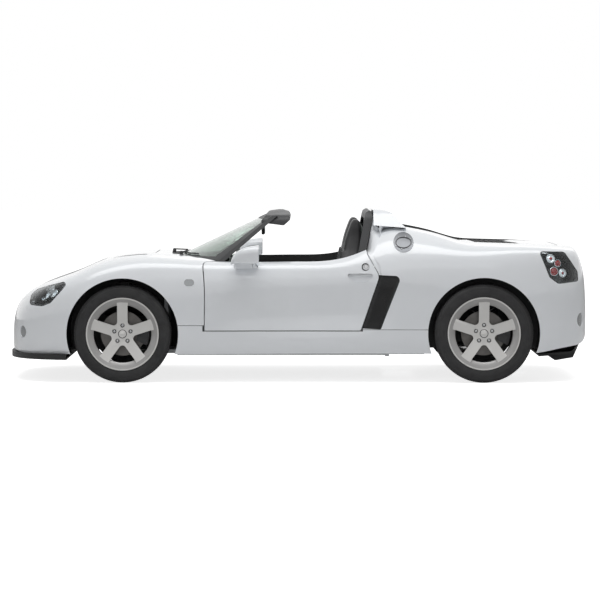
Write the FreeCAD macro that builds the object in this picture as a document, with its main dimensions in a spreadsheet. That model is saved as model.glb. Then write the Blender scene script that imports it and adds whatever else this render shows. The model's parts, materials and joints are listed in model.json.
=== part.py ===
import FreeCAD, Part
import Sketcher
import functools
import math
import os

# A two-seat, mid-engined roadster with a fixed roll hoop and no roof.
# Millimetres. X runs from nose to tail, Y to the car's right, Z up from the ground.
# The origin lies on the ground under the middle of the overall length.

Vector = FreeCAD.Vector
X_AXIS = Vector(1, 0, 0)
Y_AXIS = Vector(0, 1, 0)
Z_AXIS = Vector(0, 0, 1)
LEFT, RIGHT = -1, 1

SIZES = [
    ("overall_length", 3786, "nose to tail"),
    ("wheelbase", 2330, "front axle to rear axle"),
    ("front_overhang", 756, "nose to front axle"),
    ("hoop_height", 1117, "ground to the top of the roll hoop"),
    ("front_half_width", 838, "body, at the front axle"),
    ("waist_half_width", 808, "body, at the doors"),
    ("rear_half_width", 854, "body, at the rear axle"),
    ("sill_bottom", 185, "ground to the lower edge of the sills"),
    ("panel", 22, "thickness of the moulded panels"),
    ("gap", 6, "shut gap round doors and lids"),
    ("seat_gap", 0.3, "a part to the seat that carries it"),
    ("front_track", 1450, "between the front wheels' middle planes"),
    ("rear_track", 1470, "between the rear wheels' middle planes"),
    ("front_tyre_radius", 316, "front tyre"),
    ("rear_tyre_radius", 320, "rear tyre"),
    ("front_tyre_width", 180, "front tyre section"),
    ("rear_tyre_width", 222, "rear tyre section"),
    ("rim_radius", 235, "wheel, over the lip"),
    ("front_rim_width", 168, "front wheel, over the lips"),
    ("rear_rim_width", 206, "rear wheel, over the lips"),
    ("spoke_width", 67, "one of the five spokes"),
    ("bolt_circle", 110, "wheel bolts"),
    ("disc_radius", 144, "brake disc"),
    ("stub_radius", 30, "stub axle in its hub"),
    ("arch_radius", 360, "wheel arch opening"),
    ("kingpin_offset", 64, "front wheel's middle plane to the steering axis"),
    ("floor_height", 165, "ground to the floor of the tub"),
    ("tub_wall", 26, "floor and walls of the tub"),
    ("cabin_half_width", 560, "inside of the sill beams"),
    ("door_sill", 333, "ground to the top of the sill under the door"),
    ("door_thickness", 95, "door, skin to trim"),
    ("door_length", 1139, "front edge to the rear upper corner"),
    ("hinge_setback", 597, "front axle to the door hinges"),
    ("hinge_inset", 770, "middle of the car to the door hinges"),
    ("hinge_nose", 75, "radius of the door's front edge about its hinge"),
    ("seat_offset", 325, "middle of the car to the middle of a seat"),
    ("seat_width", 430, "across a seat"),
    ("glass", 6, "windscreen glass"),
    ("wheel_grip", 170, "steering wheel, middle to the middle of its grip"),
    ("column_radius", 20, "steering column"),
    ("fuel_cap_radius", 65, "filler cap on the left flank"),
    ("tow_eye_radius", 8.5, "hole for the towing eye's shank, in the front wall of the bay"),
    ("bumper_lamp_radius", 39, "round lamps in the front corners"),
    ("tail_reflector_radius", 45, "round reflectors in the rear corners"),
]

doc = FreeCAD.newDocument("roadster")
sheet = doc.addObject("Spreadsheet::Sheet", "Sizes")
for row, (alias, number, note) in enumerate(SIZES, start=1):
    sheet.set(f"A{row}", note)
    sheet.set(f"B{row}", str(number))
    sheet.setAlias(f"B{row}", alias)
doc.recompute()


class Size:
    """A length that carries its formula in the sheet beside its value."""

    def __init__(self, value, formula):
        self.value = value
        self.formula = formula

    def __float__(self):
        return float(self.value)

    def _join(self, sign, value, other, swap=False):
        text = other.formula if isinstance(other, Size) else repr(other)
        first, second = (text, self.formula) if swap else (self.formula, text)
        return Size(value, f"({first} {sign} {second})")

    def __add__(self, other):
        return self._join("+", float(self) + float(other), other)

    def __radd__(self, other):
        return self._join("+", float(other) + float(self), other, swap=True)

    def __sub__(self, other):
        return self._join("-", float(self) - float(other), other)

    def __rsub__(self, other):
        return self._join("-", float(other) - float(self), other, swap=True)

    def __mul__(self, other):
        return self._join("*", float(self) * float(other), other)

    def __rmul__(self, other):
        return self._join("*", float(other) * float(self), other, swap=True)

    def __truediv__(self, other):
        return self._join("/", float(self) / float(other), other)

    def __neg__(self):
        return Size(-float(self), f"(-1 * {self.formula})")


def size(alias):
    """The named size of the sheet."""
    return Size(float(sheet.get(alias)), f"Sizes.{alias}")


# Driving places, worked out from the sheet

NOSE = -1 * size("overall_length") / 2
TAIL = size("overall_length") / 2
FRONT_AXLE = NOSE + size("front_overhang")
REAR_AXLE = FRONT_AXLE + size("wheelbase")
HINGE_X = FRONT_AXLE + size("hinge_setback")
DOOR_END = HINGE_X - size("hinge_nose") + size("door_length")
HOOP_TOP = size("hoop_height")
SILL = size("sill_bottom")
PANEL = size("panel")
GAP = size("gap")
SEAT = size("seat_gap")
FLOOR = size("floor_height")
WIDE = 1200
HIGH = 2500


# Helpers for objects of the document

def bind(thing, **sizes):
    """Set properties of an object, each bound to the sheet where it is a Size."""
    for name, value in sizes.items():
        if isinstance(value, Size):
            thing.setExpression(name, value.formula)
        else:
            setattr(thing, name, value)


def place(thing, x=0, y=0, z=0, turn=None):
    """Give an object its Placement, bound to the sheet where a coordinate is a Size."""
    rotation = turn or FreeCAD.Rotation()
    thing.Placement = FreeCAD.Placement(Vector(x, y, z), rotation)
    for axis, value in zip("xyz", (x, y, z)):
        if isinstance(value, Size):
            thing.setExpression(f"Placement.Base.{axis}", value.formula)


NODES = []


def node(thing, label):
    """Name an object as one of the car's sub-parts."""
    thing.Label = label
    NODES.append(thing)
    return thing


def feature(label, shape):
    """A sub-part whose shape is worked out here."""
    thing = doc.addObject("Part::Feature", label)
    thing.Shape = shape
    return node(thing, label)


# Helpers for outlines and solids

def rounded(corners, to_point):
    """A closed wire through corners (a, b) or (a, b, radius), set in space by to_point(a, b)."""
    points = [to_point(float(c[0]), float(c[1])) for c in corners]
    radii = [float(c[2]) if len(c) > 2 else 0.0 for c in corners]
    edges = []
    starts, ends = [], []
    for i, corner in enumerate(points):
        back = (points[i - 1] - corner).normalize()
        ahead = (points[(i + 1) % len(points)] - corner).normalize()
        if radii[i] == 0:
            starts.append(corner)
            ends.append(corner)
            continue
        half = back.getAngle(ahead) / 2
        reach = radii[i] / math.tan(half)
        middle = (back + ahead).normalize()
        heart = corner + middle * (radii[i] / math.sin(half))
        starts.append(corner + back * reach)
        ends.append(corner + ahead * reach)
        crown = heart - middle * radii[i]
        edges.append((i, Part.Arc(starts[i], crown, ends[i]).toShape()))
    arcs = dict(edges)
    ring = []
    for i in range(len(points)):
        if i in arcs:
            ring.append(arcs[i])
        after = (i + 1) % len(points)
        ring.append(Part.makeLine(ends[i], starts[after]))
    return Part.Wire(ring)


def prism(wire, run):
    """A wire's face drawn out to a solid, as the spline faces that the skin's cuts need."""
    return Part.Face(wire).extrude(run).toNurbs()


def side_view(corners, near, far):
    """A solid from a side-view outline of (x, z) corners, between two Y planes."""
    wire = rounded(corners, lambda a, b: Vector(a, near, b))
    return prism(wire, Vector(0, far - near, 0))


def plan_view(corners, low, high):
    """A solid from a plan outline of (x, y) corners, between two heights."""
    wire = rounded(corners, lambda a, b: Vector(a, b, low))
    return prism(wire, Vector(0, 0, high - low))


def front_view(corners, front, rear):
    """A solid from a front-view outline of (y, z) corners, between two X planes."""
    wire = rounded(corners, lambda a, b: Vector(front, a, b))
    return prism(wire, Vector(rear - front, 0, 0))


def block(x0, x1, y0, y1, z0, z1):
    """A box between two corners."""
    base = Vector(x0, y0, z0)
    return Part.makeBox(float(x1) - float(x0), float(y1) - float(y0), float(z1) - float(z0), base)


def rod(start, end, radius):
    """A round bar from one point to another."""
    run = end - start
    return Part.makeCylinder(float(radius), run.Length, start, run)


def other_side(shape):
    """The same shape on the other side of the car."""
    return shape.mirror(Vector(0, 0, 0), Y_AXIS)


def pair(shape):
    """A shape and its mirror image, as solids that do not touch."""
    return Part.makeCompound(shape.Solids + other_side(shape).Solids)


def mirrored_outline(half):
    """A closed outline from its right half: corners (along, across) become a ring about the middle."""
    left = [(c[0], -1 * c[1]) + tuple(c[2:]) for c in reversed(half)]
    return list(half) + left


def shift(shape, x=0, y=0, z=0):
    """A copy of a shape, moved."""
    copy = shape.copy()
    copy.translate(Vector(x, y, z))
    return copy


# The body's form: a lofted skin over nine lines that run from nose to tail

def line_of(points):
    """A smooth line through (x, value) points, read back at any x."""
    marks = [(float(x), float(value)) for x, value in points]
    curve = Part.BSplineCurve()
    curve.interpolate(Points=[Vector(x, 0, value) for x, value in marks])

    def at(x):
        if x <= marks[0][0]:
            return marks[0][1]
        if x >= marks[-1][0]:
            return marks[-1][1]
        low, high = curve.FirstParameter, curve.LastParameter
        for _ in range(40):
            middle = (low + high) / 2
            if curve.value(middle).x < x:
                low = middle
            else:
                high = middle
        return curve.value(low).z

    return at


BUTTRESS = HOOP_TOP - 111

crown_at = line_of([
    (NOSE, 372), (NOSE + 22, 440), (NOSE + 50, 505), (NOSE + 80, 540), (NOSE + 140, 587),
    (NOSE + 280, 649), (FRONT_AXLE - 309, 711), (FRONT_AXLE - 190, 764), (FRONT_AXLE, 812),
    (FRONT_AXLE + 200, 825), (FRONT_AXLE + 320, 818), (FRONT_AXLE + 640, 800), (0, 800),
    (DOOR_END - 225, 840), (DOOR_END - 60, 950), (DOOR_END + 70, BUTTRESS),
    (REAR_AXLE - 450, BUTTRESS - 11), (REAR_AXLE - 279, 955), (REAR_AXLE - 103, 906),
    (REAR_AXLE + 10, 899), (REAR_AXLE + 273, 891), (TAIL - 209, 880), (TAIL - 125, 873),
    (TAIL - 84, 858), (TAIL - 66, 825), (TAIL - 31, 724), (TAIL - 14, 643), (TAIL - 4, 549),
    (TAIL, 470),
])
shoulder_at = line_of([
    (NOSE, 330), (NOSE + 60, 430), (NOSE + 200, 560), (FRONT_AXLE - 309, 660),
    (FRONT_AXLE, 742), (FRONT_AXLE + 320, 745), (0, 752), (DOOR_END - 75, 790),
    (REAR_AXLE - 450, 838), (REAR_AXLE, 845), (TAIL - 209, 835), (TAIL - 84, 780),
    (TAIL - 31, 640), (TAIL, 430),
])
bottom_at = line_of([
    (NOSE, 232), (NOSE + 20, 202), (NOSE + 60, 190), (NOSE + 200, SILL), (FRONT_AXLE, SILL),
    (REAR_AXLE, SILL), (TAIL - 324, SILL + 15), (TAIL - 144, 232), (TAIL - 36, 262),
    (TAIL - 4, 318), (TAIL, 350),
])
crest_share_at = line_of([
    (NOSE, 0.80), (FRONT_AXLE, 0.86), (0, 0.87), (DOOR_END + 40, 0.80),
    (REAR_AXLE - 290, 0.80), (REAR_AXLE + 100, 0.86), (TAIL, 0.86),
])
tuck_share_at = line_of([
    (NOSE, 1.0), (FRONT_AXLE, 1.0), (FRONT_AXLE + 600, 0.985), (100, 0.955),
    (REAR_AXLE - 500, 0.985), (REAR_AXLE, 1.0), (TAIL, 1.0),
])
width_at = line_of([
    (FRONT_AXLE, size("front_half_width")), (0, size("waist_half_width")),
    (REAR_AXLE, size("rear_half_width")),
])

NOSE_ROUND = 3.3
TAIL_ROUND = 4.2


def half_width(x, inset):
    """Half the body's width at x: rounded off to the nose and the tail in plan."""
    if x < float(FRONT_AXLE):
        share = (FRONT_AXLE - x) / (FRONT_AXLE - NOSE - inset)
        curve = max(1 - float(share) ** NOSE_ROUND, 0) ** (1 / NOSE_ROUND)
        return (size("front_half_width") - inset) * curve
    if x > float(REAR_AXLE):
        share = (x - REAR_AXLE) / (TAIL - REAR_AXLE - inset)
        curve = max(1 - float(share) ** TAIL_ROUND, 0) ** (1 / TAIL_ROUND)
        return (size("rear_half_width") - inset) * curve
    return width_at(x) - inset


def section(x, inset):
    """The skin's control points across the car at x, from the left sill over to the right."""
    wide = float(half_width(x, inset))
    outer_x = x
    if x < float(FRONT_AXLE):
        outer_x = float(FRONT_AXLE - (FRONT_AXLE - x) * (FRONT_AXLE - NOSE) / (FRONT_AXLE - NOSE - inset))
    elif x > float(REAR_AXLE):
        outer_x = float(REAR_AXLE + (x - REAR_AXLE) * (TAIL - REAR_AXLE) / (TAIL - REAR_AXLE - inset))
    crown = crown_at(outer_x) - inset
    shoulder = shoulder_at(outer_x) - 0.8 * inset
    bottom = bottom_at(outer_x) if inset == 0 else float(FLOOR) - 30 - inset / 2
    side = shoulder - bottom
    half = [
        (0, crown),
        (0.30 * wide, crown),
        (0.62 * wide, crown),
        (crest_share_at(outer_x) * wide, crown - 0.22 * (crown - shoulder)),
        (0.975 * wide, shoulder),
        (wide, shoulder - 0.27 * side),
        (tuck_share_at(outer_x) * wide, shoulder - 0.55 * side),
        (0.995 * wide, bottom + 0.20 * side),
        (0.985 * wide, bottom + 0.06 * side),
        (0.960 * wide, bottom),
    ]
    left = [Vector(x, -y, z) for y, z in reversed(half)]
    return left + [Vector(x, y, z) for y, z in half[1:]]


def stations(inset):
    """Where the skin's sections stand: close together where nose and tail round off."""
    turns = [math.radians(7 + 70 * step / 8) for step in range(9)]
    front = float(FRONT_AXLE - NOSE) - inset
    rear = float(TAIL - REAR_AXLE) - inset
    marks = [float(FRONT_AXLE) - front * math.cos(turn) ** (2 / NOSE_ROUND) for turn in turns]
    marks += [float(REAR_AXLE) + rear * math.cos(turn) ** (2 / TAIL_ROUND) for turn in turns]
    marks += [float(FRONT_AXLE) + along for along in (-190, 0, 200, 320, 500, 700, 900)]
    marks += [0.0]
    marks += [float(DOOR_END) + along for along in (-325, -175, -55, 65)]
    marks += [float(REAR_AXLE) + along for along in (-452, -279, -130, 0)]
    return sorted(marks)


@functools.cache
def form(inset):
    """The body as one solid, with its skin moved in by inset."""
    rows = [section(x, inset) for x in stations(inset)]
    across = len(rows[0])
    places = [0.0]
    for row, following in zip(rows, rows[1:]):
        steps = [a.distanceToPoint(b) for a, b in zip(row, following)]
        places.append(places[-1] + sum(steps) / across)
    net = []
    for along in range(across):
        run = Part.BSplineCurve()
        run.interpolate(Points=[row[along] for row in rows], Parameters=places)
        net.append(run.getPoles())
    spans = across - 3
    skin = Part.BSplineSurface()
    skin.buildFromPolesMultsKnots(
        net,
        [4] + [1] * (spans - 1) + [4],
        run.getMultiplicities(),
        [float(knot) for knot in range(spans + 1)],
        run.getKnots(),
        False,
        False,
        3,
        3,
    )
    left = skin.uIso(0).toShape()
    right = skin.uIso(spans).toShape()
    faces = [skin.toShape(), Part.makeRuledSurface(left, right)]
    for knot in (run.getKnots()[0], run.getKnots()[-1]):
        rib = skin.vIso(knot).toShape()
        foot = Part.makeLine(rib.Vertexes[0].Point, rib.Vertexes[-1].Point)
        faces.append(Part.Face(Part.Wire([rib, foot])))
    shell = Part.Shell(faces)
    shell.sewShape()
    solid = Part.Solid(shell)
    if solid.Volume < 0:
        solid.reverse()
    return solid


OUTER = form(0)
SHELL = OUTER.cut(form(float(PANEL)))
LINING = form(float(PANEL + SEAT))


def near(solid, room):
    """The stretch of a large solid round a room, so that a later cut stays small."""
    box = room.BoundBox
    box.enlarge(40)
    return solid.common(block(box.XMin, box.XMax, box.YMin, box.YMax, box.ZMin, box.ZMax))


def layer(room, outside, inside):
    """The layer of a room between two depths under the skin."""
    return room.common(near(form(outside), room)).cut(near(form(inside), room))


# Outlines that several panels share

def door_outline(grow):
    """The door in side view, grown by a gap: level below, leaning back behind."""
    base = float(size("door_sill") + GAP) - grow
    lean = 0.343
    foot = float(DOOR_END) - 125 + grow * 1.06
    waist = 690
    return [
        (float(HINGE_X) - 200, base),
        (foot + (base - 339) * lean, base, 14),
        (foot + (waist - 339) * lean, waist, 60),
        (foot + 42, 830 + grow),
        (foot + 30, 900),
        (float(HINGE_X) - 200, 900),
    ]


def hinge_post(grow, low, high):
    """The round front edge of the left door about its hinge, as a solid post."""
    foot = Vector(HINGE_X, -1 * size("hinge_inset"), low)
    return Part.makeCylinder(float(size("hinge_nose")) + grow, float(high) - float(low), foot)


def door_space(grow):
    """All that the left door fills, grown by a gap."""
    low = float(size("door_sill") + GAP) - grow
    slab = side_view(door_outline(grow), -WIDE, -500)
    aft = slab.common(block(HINGE_X, HIGH, -WIDE, -500, 0, HIGH))
    return aft.fuse(hinge_post(grow, low, 900).common(slab))


SCREEN_NOSE = FRONT_AXLE + 287
SCREEN_HALF = 700
SCREEN_SWEEP = 330
COCKPIT_HALF = size("waist_half_width") - size("door_thickness") - 6
CABIN_END = DOOR_END - 52


def cockpit(low, high):
    """The open cockpit in plan: bowed along the foot of the windscreen."""
    tip = Vector(SCREEN_NOSE, 0, low)
    near = Vector(SCREEN_NOSE + SCREEN_SWEEP, -SCREEN_HALF, low)
    far = Vector(SCREEN_NOSE + SCREEN_SWEEP, SCREEN_HALF, low)
    bow = Part.Arc(far, tip, near).toShape()
    wide = float(COCKPIT_HALF)
    end = float(CABIN_END)
    path = [
        near, Vector(near.x, -wide, low), Vector(end, -wide, low),
        Vector(end, wide, low), Vector(near.x, wide, low), far,
    ]
    lines = [Part.makeLine(a, b) for a, b in zip(path, path[1:])]
    return Part.Face(Part.Wire([bow] + lines)).extrude(Vector(0, 0, high - low))


def arch(axle, radius_name):
    """The space of both wheels of an axle, right across the car."""
    foot = Vector(axle, -WIDE, size(radius_name))
    return Part.makeCylinder(float(size("arch_radius")), 2 * WIDE, foot, Y_AXIS)


ARCHES = arch(FRONT_AXLE, "front_tyre_radius").fuse(arch(REAR_AXLE, "rear_tyre_radius"))


# The engine lid's deck: a gentle crown between the buttresses

DECK_TOP = 900
DECK_CROWN = 6000
VALLEY_HALF = 460
LID_FRONT = REAR_AXLE - 433
LID_END = TAIL - 203
deck_roll = Part.makeCylinder(
    DECK_CROWN, float(TAIL) + WIDE, Vector(0, 0, DECK_TOP - DECK_CROWN), X_AXIS)
DECK = OUTER.common(deck_roll)

engine_lid_plan = [
    (LID_FRONT, -430, 30), (LID_END, -500, 60), (LID_END, 500, 60), (LID_FRONT, 430, 30)]
engine_opening_plan = [
    (LID_FRONT - GAP, -436, 36), (LID_END + GAP, -506, 66),
    (LID_END + GAP, 506, 66), (LID_FRONT - GAP, 436, 36)]
engine_ledge_plan = [
    (LID_FRONT + 14, -416, 16), (LID_END - 14, -486, 46),
    (LID_END - 14, 486, 46), (LID_FRONT + 14, 416, 16)]

FRONT_LID_NOSE = FRONT_AXLE - 250
FRONT_LID_END = FRONT_AXLE + 190
front_lid_plan = [
    (FRONT_LID_NOSE, -250, 40), (FRONT_LID_END, -340, 40),
    (FRONT_LID_END, 340, 40), (FRONT_LID_NOSE, 250, 40)]
front_opening_plan = [
    (FRONT_LID_NOSE - GAP, -256, 46), (FRONT_LID_END + GAP, -346, 46),
    (FRONT_LID_END + GAP, 346, 46), (FRONT_LID_NOSE - GAP, 256, 46)]
front_ledge_plan = [
    (FRONT_LID_NOSE + 14, -236, 26), (FRONT_LID_END - 14, -326, 26),
    (FRONT_LID_END - 14, 326, 26), (FRONT_LID_NOSE + 14, 236, 26)]


def lid(top, plan):
    """A lid cut from a top surface, one panel thick."""
    return top.common(plan_view(plan, 500, HIGH)).cut(shift(top, z=-float(PANEL)))


def ledge(top, opening, inner):
    """The rebate that a lid rests on, just under the lid."""
    under = float(PANEL) + float(SEAT)
    band = shift(top, z=-under).cut(shift(top, z=-under - 10))
    outline = plan_view(opening, 500, HIGH).cut(plan_view(inner, 500, HIGH))
    return band.common(outline)


# Lamps and openings in side view

headlamp_outline = [
    (FRONT_AXLE - 612, 498, 20), (FRONT_AXLE - 604, 563, 30), (FRONT_AXLE - 566, 597, 60),
    (FRONT_AXLE - 482, 625, 100), (FRONT_AXLE - 334, 664, 18), (FRONT_AXLE - 390, 597, 40),
    (FRONT_AXLE - 464, 515, 40), (FRONT_AXLE - 520, 493, 30)]
tail_lamp_outline = [
    (REAR_AXLE + 352, 850, 16), (REAR_AXLE + 520, 846, 30), (REAR_AXLE + 612, 717, 40),
    (REAR_AXLE + 618, 652, 16), (REAR_AXLE + 477, 640, 30), (REAR_AXLE + 420, 681, 40)]


def lamp_space(outline, inner, shrink=0.0):
    """The room that a left lamp takes, from a plane beside the middle outwards."""
    wire = rounded(outline, lambda a, b: Vector(a, -WIDE, b))
    face = Part.Face(wire)
    if shrink:
        face = face.makeOffset2D(-shrink)
    return face.extrude(Vector(0, WIDE - inner, 0)).toNurbs()


intake_outline = [
    (DOOR_END - 118, 352, 8), (DOOR_END + 5, 346, 8), (DOOR_END + 139, 690, 30),
    (DOOR_END + 4, 696, 8)]
GRILLE_TOP, GRILLE_FOOT = 492, 290


def centre_opening(grow):
    """The mouth in the nose, in front view."""
    corners = [
        (-250 - grow, GRILLE_FOOT - grow, 30), (250 + grow, GRILLE_FOOT - grow, 30),
        (320 + grow, GRILLE_TOP + grow, 40), (-320 - grow, GRILLE_TOP + grow, 40)]
    return front_view(corners, float(NOSE) - 20, float(FRONT_AXLE) - 500)


bonnet_vent_plan = [
    (FRONT_AXLE - 122, 425, 14), (FRONT_AXLE + 146, 480, 14), (FRONT_AXLE + 152, 545, 24),
    (FRONT_AXLE + 20, 540, 60)]
REPEATER_X, REPEATER_Z = HINGE_X - 166, 649
repeater_outline = [
    (REPEATER_X - 32, REPEATER_Z - 21, 20), (REPEATER_X + 32, REPEATER_Z - 21, 20),
    (REPEATER_X + 32, REPEATER_Z + 21, 20), (REPEATER_X - 32, REPEATER_Z + 21, 20)]
FUEL_CAP_X, FUEL_CAP_Z = REAR_AXLE - 516, 905


def bonnet_vent(grow):
    """The room of the left air outlet beside the front lid."""
    corners = [(x, -1 * y, r) for x, y, r in bonnet_vent_plan]
    wire = rounded(corners, lambda a, b: Vector(a, b, 560))
    face = Part.Face(wire)
    if grow:
        face = face.makeOffset2D(grow)
    return face.extrude(Vector(0, 0, 400)).toNurbs()


def repeater(grow):
    """The room of the left side repeater, between arch and door."""
    wire = rounded(repeater_outline, lambda a, b: Vector(a, -WIDE, b))
    face = Part.Face(wire)
    if grow:
        face = face.makeOffset2D(grow)
    return face.extrude(Vector(0, 500, 0)).toNurbs()


def bumper_lamp(grow):
    """The round room of the left lamp in the front corner."""
    radius = float(size("bumper_lamp_radius")) + grow
    return Part.makeCylinder(radius, 400, Vector(NOSE - 40, -615, 322), X_AXIS).toNurbs()


def tail_reflector(grow):
    """The round room of the left reflector in the rear corner."""
    radius = float(size("tail_reflector_radius")) + grow
    return Part.makeCylinder(radius, 300, Vector(TAIL - 260, -655, 402), X_AXIS).toNurbs()


def filler(grow):
    """The round room of the fuel cap, on the left flank only."""
    radius = float(size("fuel_cap_radius")) + grow
    return Part.makeCylinder(radius, 700, Vector(FUEL_CAP_X, -WIDE, FUEL_CAP_Z), Y_AXIS).toNurbs()


# Body panels

def tips_notch():
    """The opening in the tail that the exhaust tips come out of."""
    return front_view([(-112, 150), (112, 150), (104, 316, 44), (-104, 316, 44)], TAIL - 200, TAIL + 40)


def front_clam():
    """Front bodywork: nose, bonnet and wings in one moulding."""
    panel = SHELL.common(block(-HIGH, HINGE_X, -WIDE, WIDE, 0, HIGH))
    low_rear = block(FRONT_AXLE + 100, HINGE_X + 200, -WIDE, WIDE, 0, size("door_sill") + 40)
    cuts = [
        cockpit(450, HIGH), ARCHES, low_rear, centre_opening(0),
        hinge_post(float(GAP), 0, HIGH), other_side(hinge_post(float(GAP), 0, HIGH)),
        plan_view(front_opening_plan, 500, HIGH),
    ]
    for room in (lamp_space(headlamp_outline, 380), bonnet_vent(0), repeater(0), bumper_lamp(0)):
        cuts += [room, other_side(room)]
    for tool in cuts:
        panel = panel.cut(tool)
    return panel.fuse(ledge(OUTER, front_opening_plan, front_ledge_plan))


def rear_clam():
    """Rear bodywork: buttresses, haunches and tail in one moulding."""
    gap = float(GAP)
    foot = float(DOOR_END) - 118 + gap
    ahead = side_view([
        (foot - 400, -10), (foot - 120, -10), (foot - 120, 330), (foot, 346), (foot + 122, 690),
        (foot + 112, 752, 30), (foot + 70, 818), (foot + 150, 1030), (foot + 150, HIGH),
        (foot - 400, HIGH)], -WIDE, WIDE)
    valley = block(0, REAR_AXLE + 20, -VALLEY_HALF, VALLEY_HALF, 600, HIGH).cut(deck_roll)
    low = block(0, REAR_AXLE - 250, -WIDE, WIDE, 0, float(size("door_sill")) + 13)
    panel = SHELL.common(block(foot - 124, HIGH, -WIDE, WIDE, 0, HIGH)).cut(valley)
    thick = float(PANEL)
    deck = DECK.cut(shift(DECK, z=-thick)).common(
        block(CABIN_END + 60, REAR_AXLE + 60, -VALLEY_HALF - thick, VALLEY_HALF + thick, 600, HIGH))
    wall = OUTER.common(block(
        CABIN_END + 60, REAR_AXLE + 20, -VALLEY_HALF - thick, -VALLEY_HALF, DECK_TOP - 60, HIGH))
    panel = panel.fuse([deck, wall, other_side(wall)])
    lamp = lamp_space(tail_lamp_outline, 480)
    intake = side_view(intake_outline, -WIDE, -600)
    cuts = [
        ahead, ARCHES, low, lamp, other_side(lamp), intake, other_side(intake),
        plan_view(engine_opening_plan, 500, HIGH),
        block(CABIN_END - 200, CABIN_END + 60, -VALLEY_HALF, VALLEY_HALF, 500, HIGH), tips_notch(),
        tail_reflector(0), other_side(tail_reflector(0)), filler(0),
    ]
    for tool in cuts:
        panel = panel.cut(tool)
    return panel.fuse(ledge(DECK, engine_opening_plan, engine_ledge_plan))


feature("front_clam", front_clam())
feature("rear_clam", rear_clam())


def sill_panel():
    """The left sill under the door, between the arches."""
    split = 3
    start, end = FRONT_AXLE + 100, REAR_AXLE - 100
    top = float(size("door_sill"))
    low = block(start, end, -WIDE, -500, 0, top)
    front = block(start, HINGE_X - size("hinge_nose") - GAP, -WIDE, -500, 0, top + 40 - split)
    rear = block(DOOR_END - 110, end, -WIDE, -500, 0, top + 13 - split)
    return SHELL.common(low.fuse([front, rear])).cut(ARCHES)


feature("sill_panels", pair(sill_panel()))


def door():
    """The left door: skin to trim in one thickness, with its hinge eyes cut in."""
    slab = layer(door_space(0), 0, float(size("door_thickness"))).cut(
        block(-HIGH, HIGH, -1 * COCKPIT_HALF, COCKPIT_HALF, 0, HIGH))
    for low in HINGE_LEVELS:
        slab = slab.cut(block(
            HINGE_X - 90, HINGE_X + 24, -1 * size("hinge_inset") - 24, -500, low, low + HINGE_SLOT))
        slab = slab.cut(hinge_pin(low, 0.3))
    for outline in (handle_recess, lock_recess):
        wire = rounded(outline, lambda a, b: Vector(a, -WIDE, b))
        room = Part.Face(wire).extrude(Vector(0, 600, 0)).toNurbs()
        slab = slab.cut(layer(room, -6, 14))
    return slab


HANDLE_X, HANDLE_Z = DOOR_END - 128, 693
handle_recess = [
    (HANDLE_X - 78, HANDLE_Z - 10, 9), (HANDLE_X - 40, HANDLE_Z - 44, 34), (HANDLE_X + 40, HANDLE_Z - 44, 34),
    (HANDLE_X + 78, HANDLE_Z - 10, 9), (HANDLE_X + 80, HANDLE_Z + 12, 10), (HANDLE_X - 80, HANDLE_Z + 12, 10)]
LOCK_X, LOCK_Z = DOOR_END - 94, 748
lock_recess = [
    (LOCK_X - 25, LOCK_Z - 25, 24), (LOCK_X + 25, LOCK_Z - 25, 24), (LOCK_X + 25, LOCK_Z + 25, 24),
    (LOCK_X - 25, LOCK_Z + 25, 24)]
HINGE_LEVELS = (400, 620)
HINGE_SLOT = 40
PIN_RADIUS = 8


def hinge_pin(low, grow):
    """An upright door hinge pin through one slot of the left door."""
    foot = Vector(HINGE_X, -1 * size("hinge_inset"), low - 25 - grow)
    return Part.makeCylinder(PIN_RADIUS + grow, HINGE_SLOT + 50 + 2 * grow, foot)


LEFT_DOOR = door()
feature("door_left", LEFT_DOOR)
feature("door_right", other_side(LEFT_DOOR))

VENT_HALF = 400
VENT_NOSE, VENT_END = REAR_AXLE - 66, REAR_AXLE + 177
VENT_SWEEP_NOSE, VENT_SWEEP_END = 55, 80


def chevron(nose, end, half, sweep_nose, sweep_end, low, high):
    """A swept band across the engine lid, between two heights."""
    return plan_view([
        (nose, 0), (nose + sweep_nose, half), (end + sweep_end, half), (end, 0),
        (end + sweep_end, -half), (nose + sweep_nose, -half)], low, high)


def lid_vent():
    """Swept slats in a frame, in the opening of the engine lid."""
    seat = float(SEAT)
    frame = []
    for edge in (seat, 12):
        frame.append(chevron(
            VENT_NOSE + edge, VENT_END - edge, VENT_HALF - edge, VENT_SWEEP_NOSE, VENT_SWEEP_END, 700, HIGH))
    slats = []
    count = 8
    for step in range(1, count):
        share = step / count
        start = VENT_NOSE + (VENT_END - VENT_NOSE) * share
        sweep = VENT_SWEEP_NOSE + (VENT_SWEEP_END - VENT_SWEEP_NOSE) * share
        slats.append(chevron(start - 5, start + 5, VENT_HALF - 6, sweep, sweep, 700, HIGH))
    grid = frame[0].cut(frame[1]).fuse(slats)
    band = DECK.common(block(VENT_NOSE - 40, VENT_END + 140, -460, 460, 700, HIGH))
    return grid.common(band).cut(shift(band, z=-float(PANEL) + 2))


ENGINE_LID = lid(DECK, engine_lid_plan).cut(
    chevron(VENT_NOSE, VENT_END, VENT_HALF, VENT_SWEEP_NOSE, VENT_SWEEP_END, 700, HIGH))
feature("engine_lid", ENGINE_LID)
feature("engine_vent", lid_vent())
feature("front_lid", lid(OUTER, front_lid_plan))


# Lamps

def lamp_parts(outline, inner, depth):
    """A left lamp's open housing and the clear cover that closes it."""
    room = lamp_space(outline, inner, 1)
    bowl = layer(room, 5, depth)
    hollow = layer(lamp_space(outline, inner, 9), 4, depth - 8)
    cover = layer(room, 0, 4.5)
    return bowl.cut(hollow), cover


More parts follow.
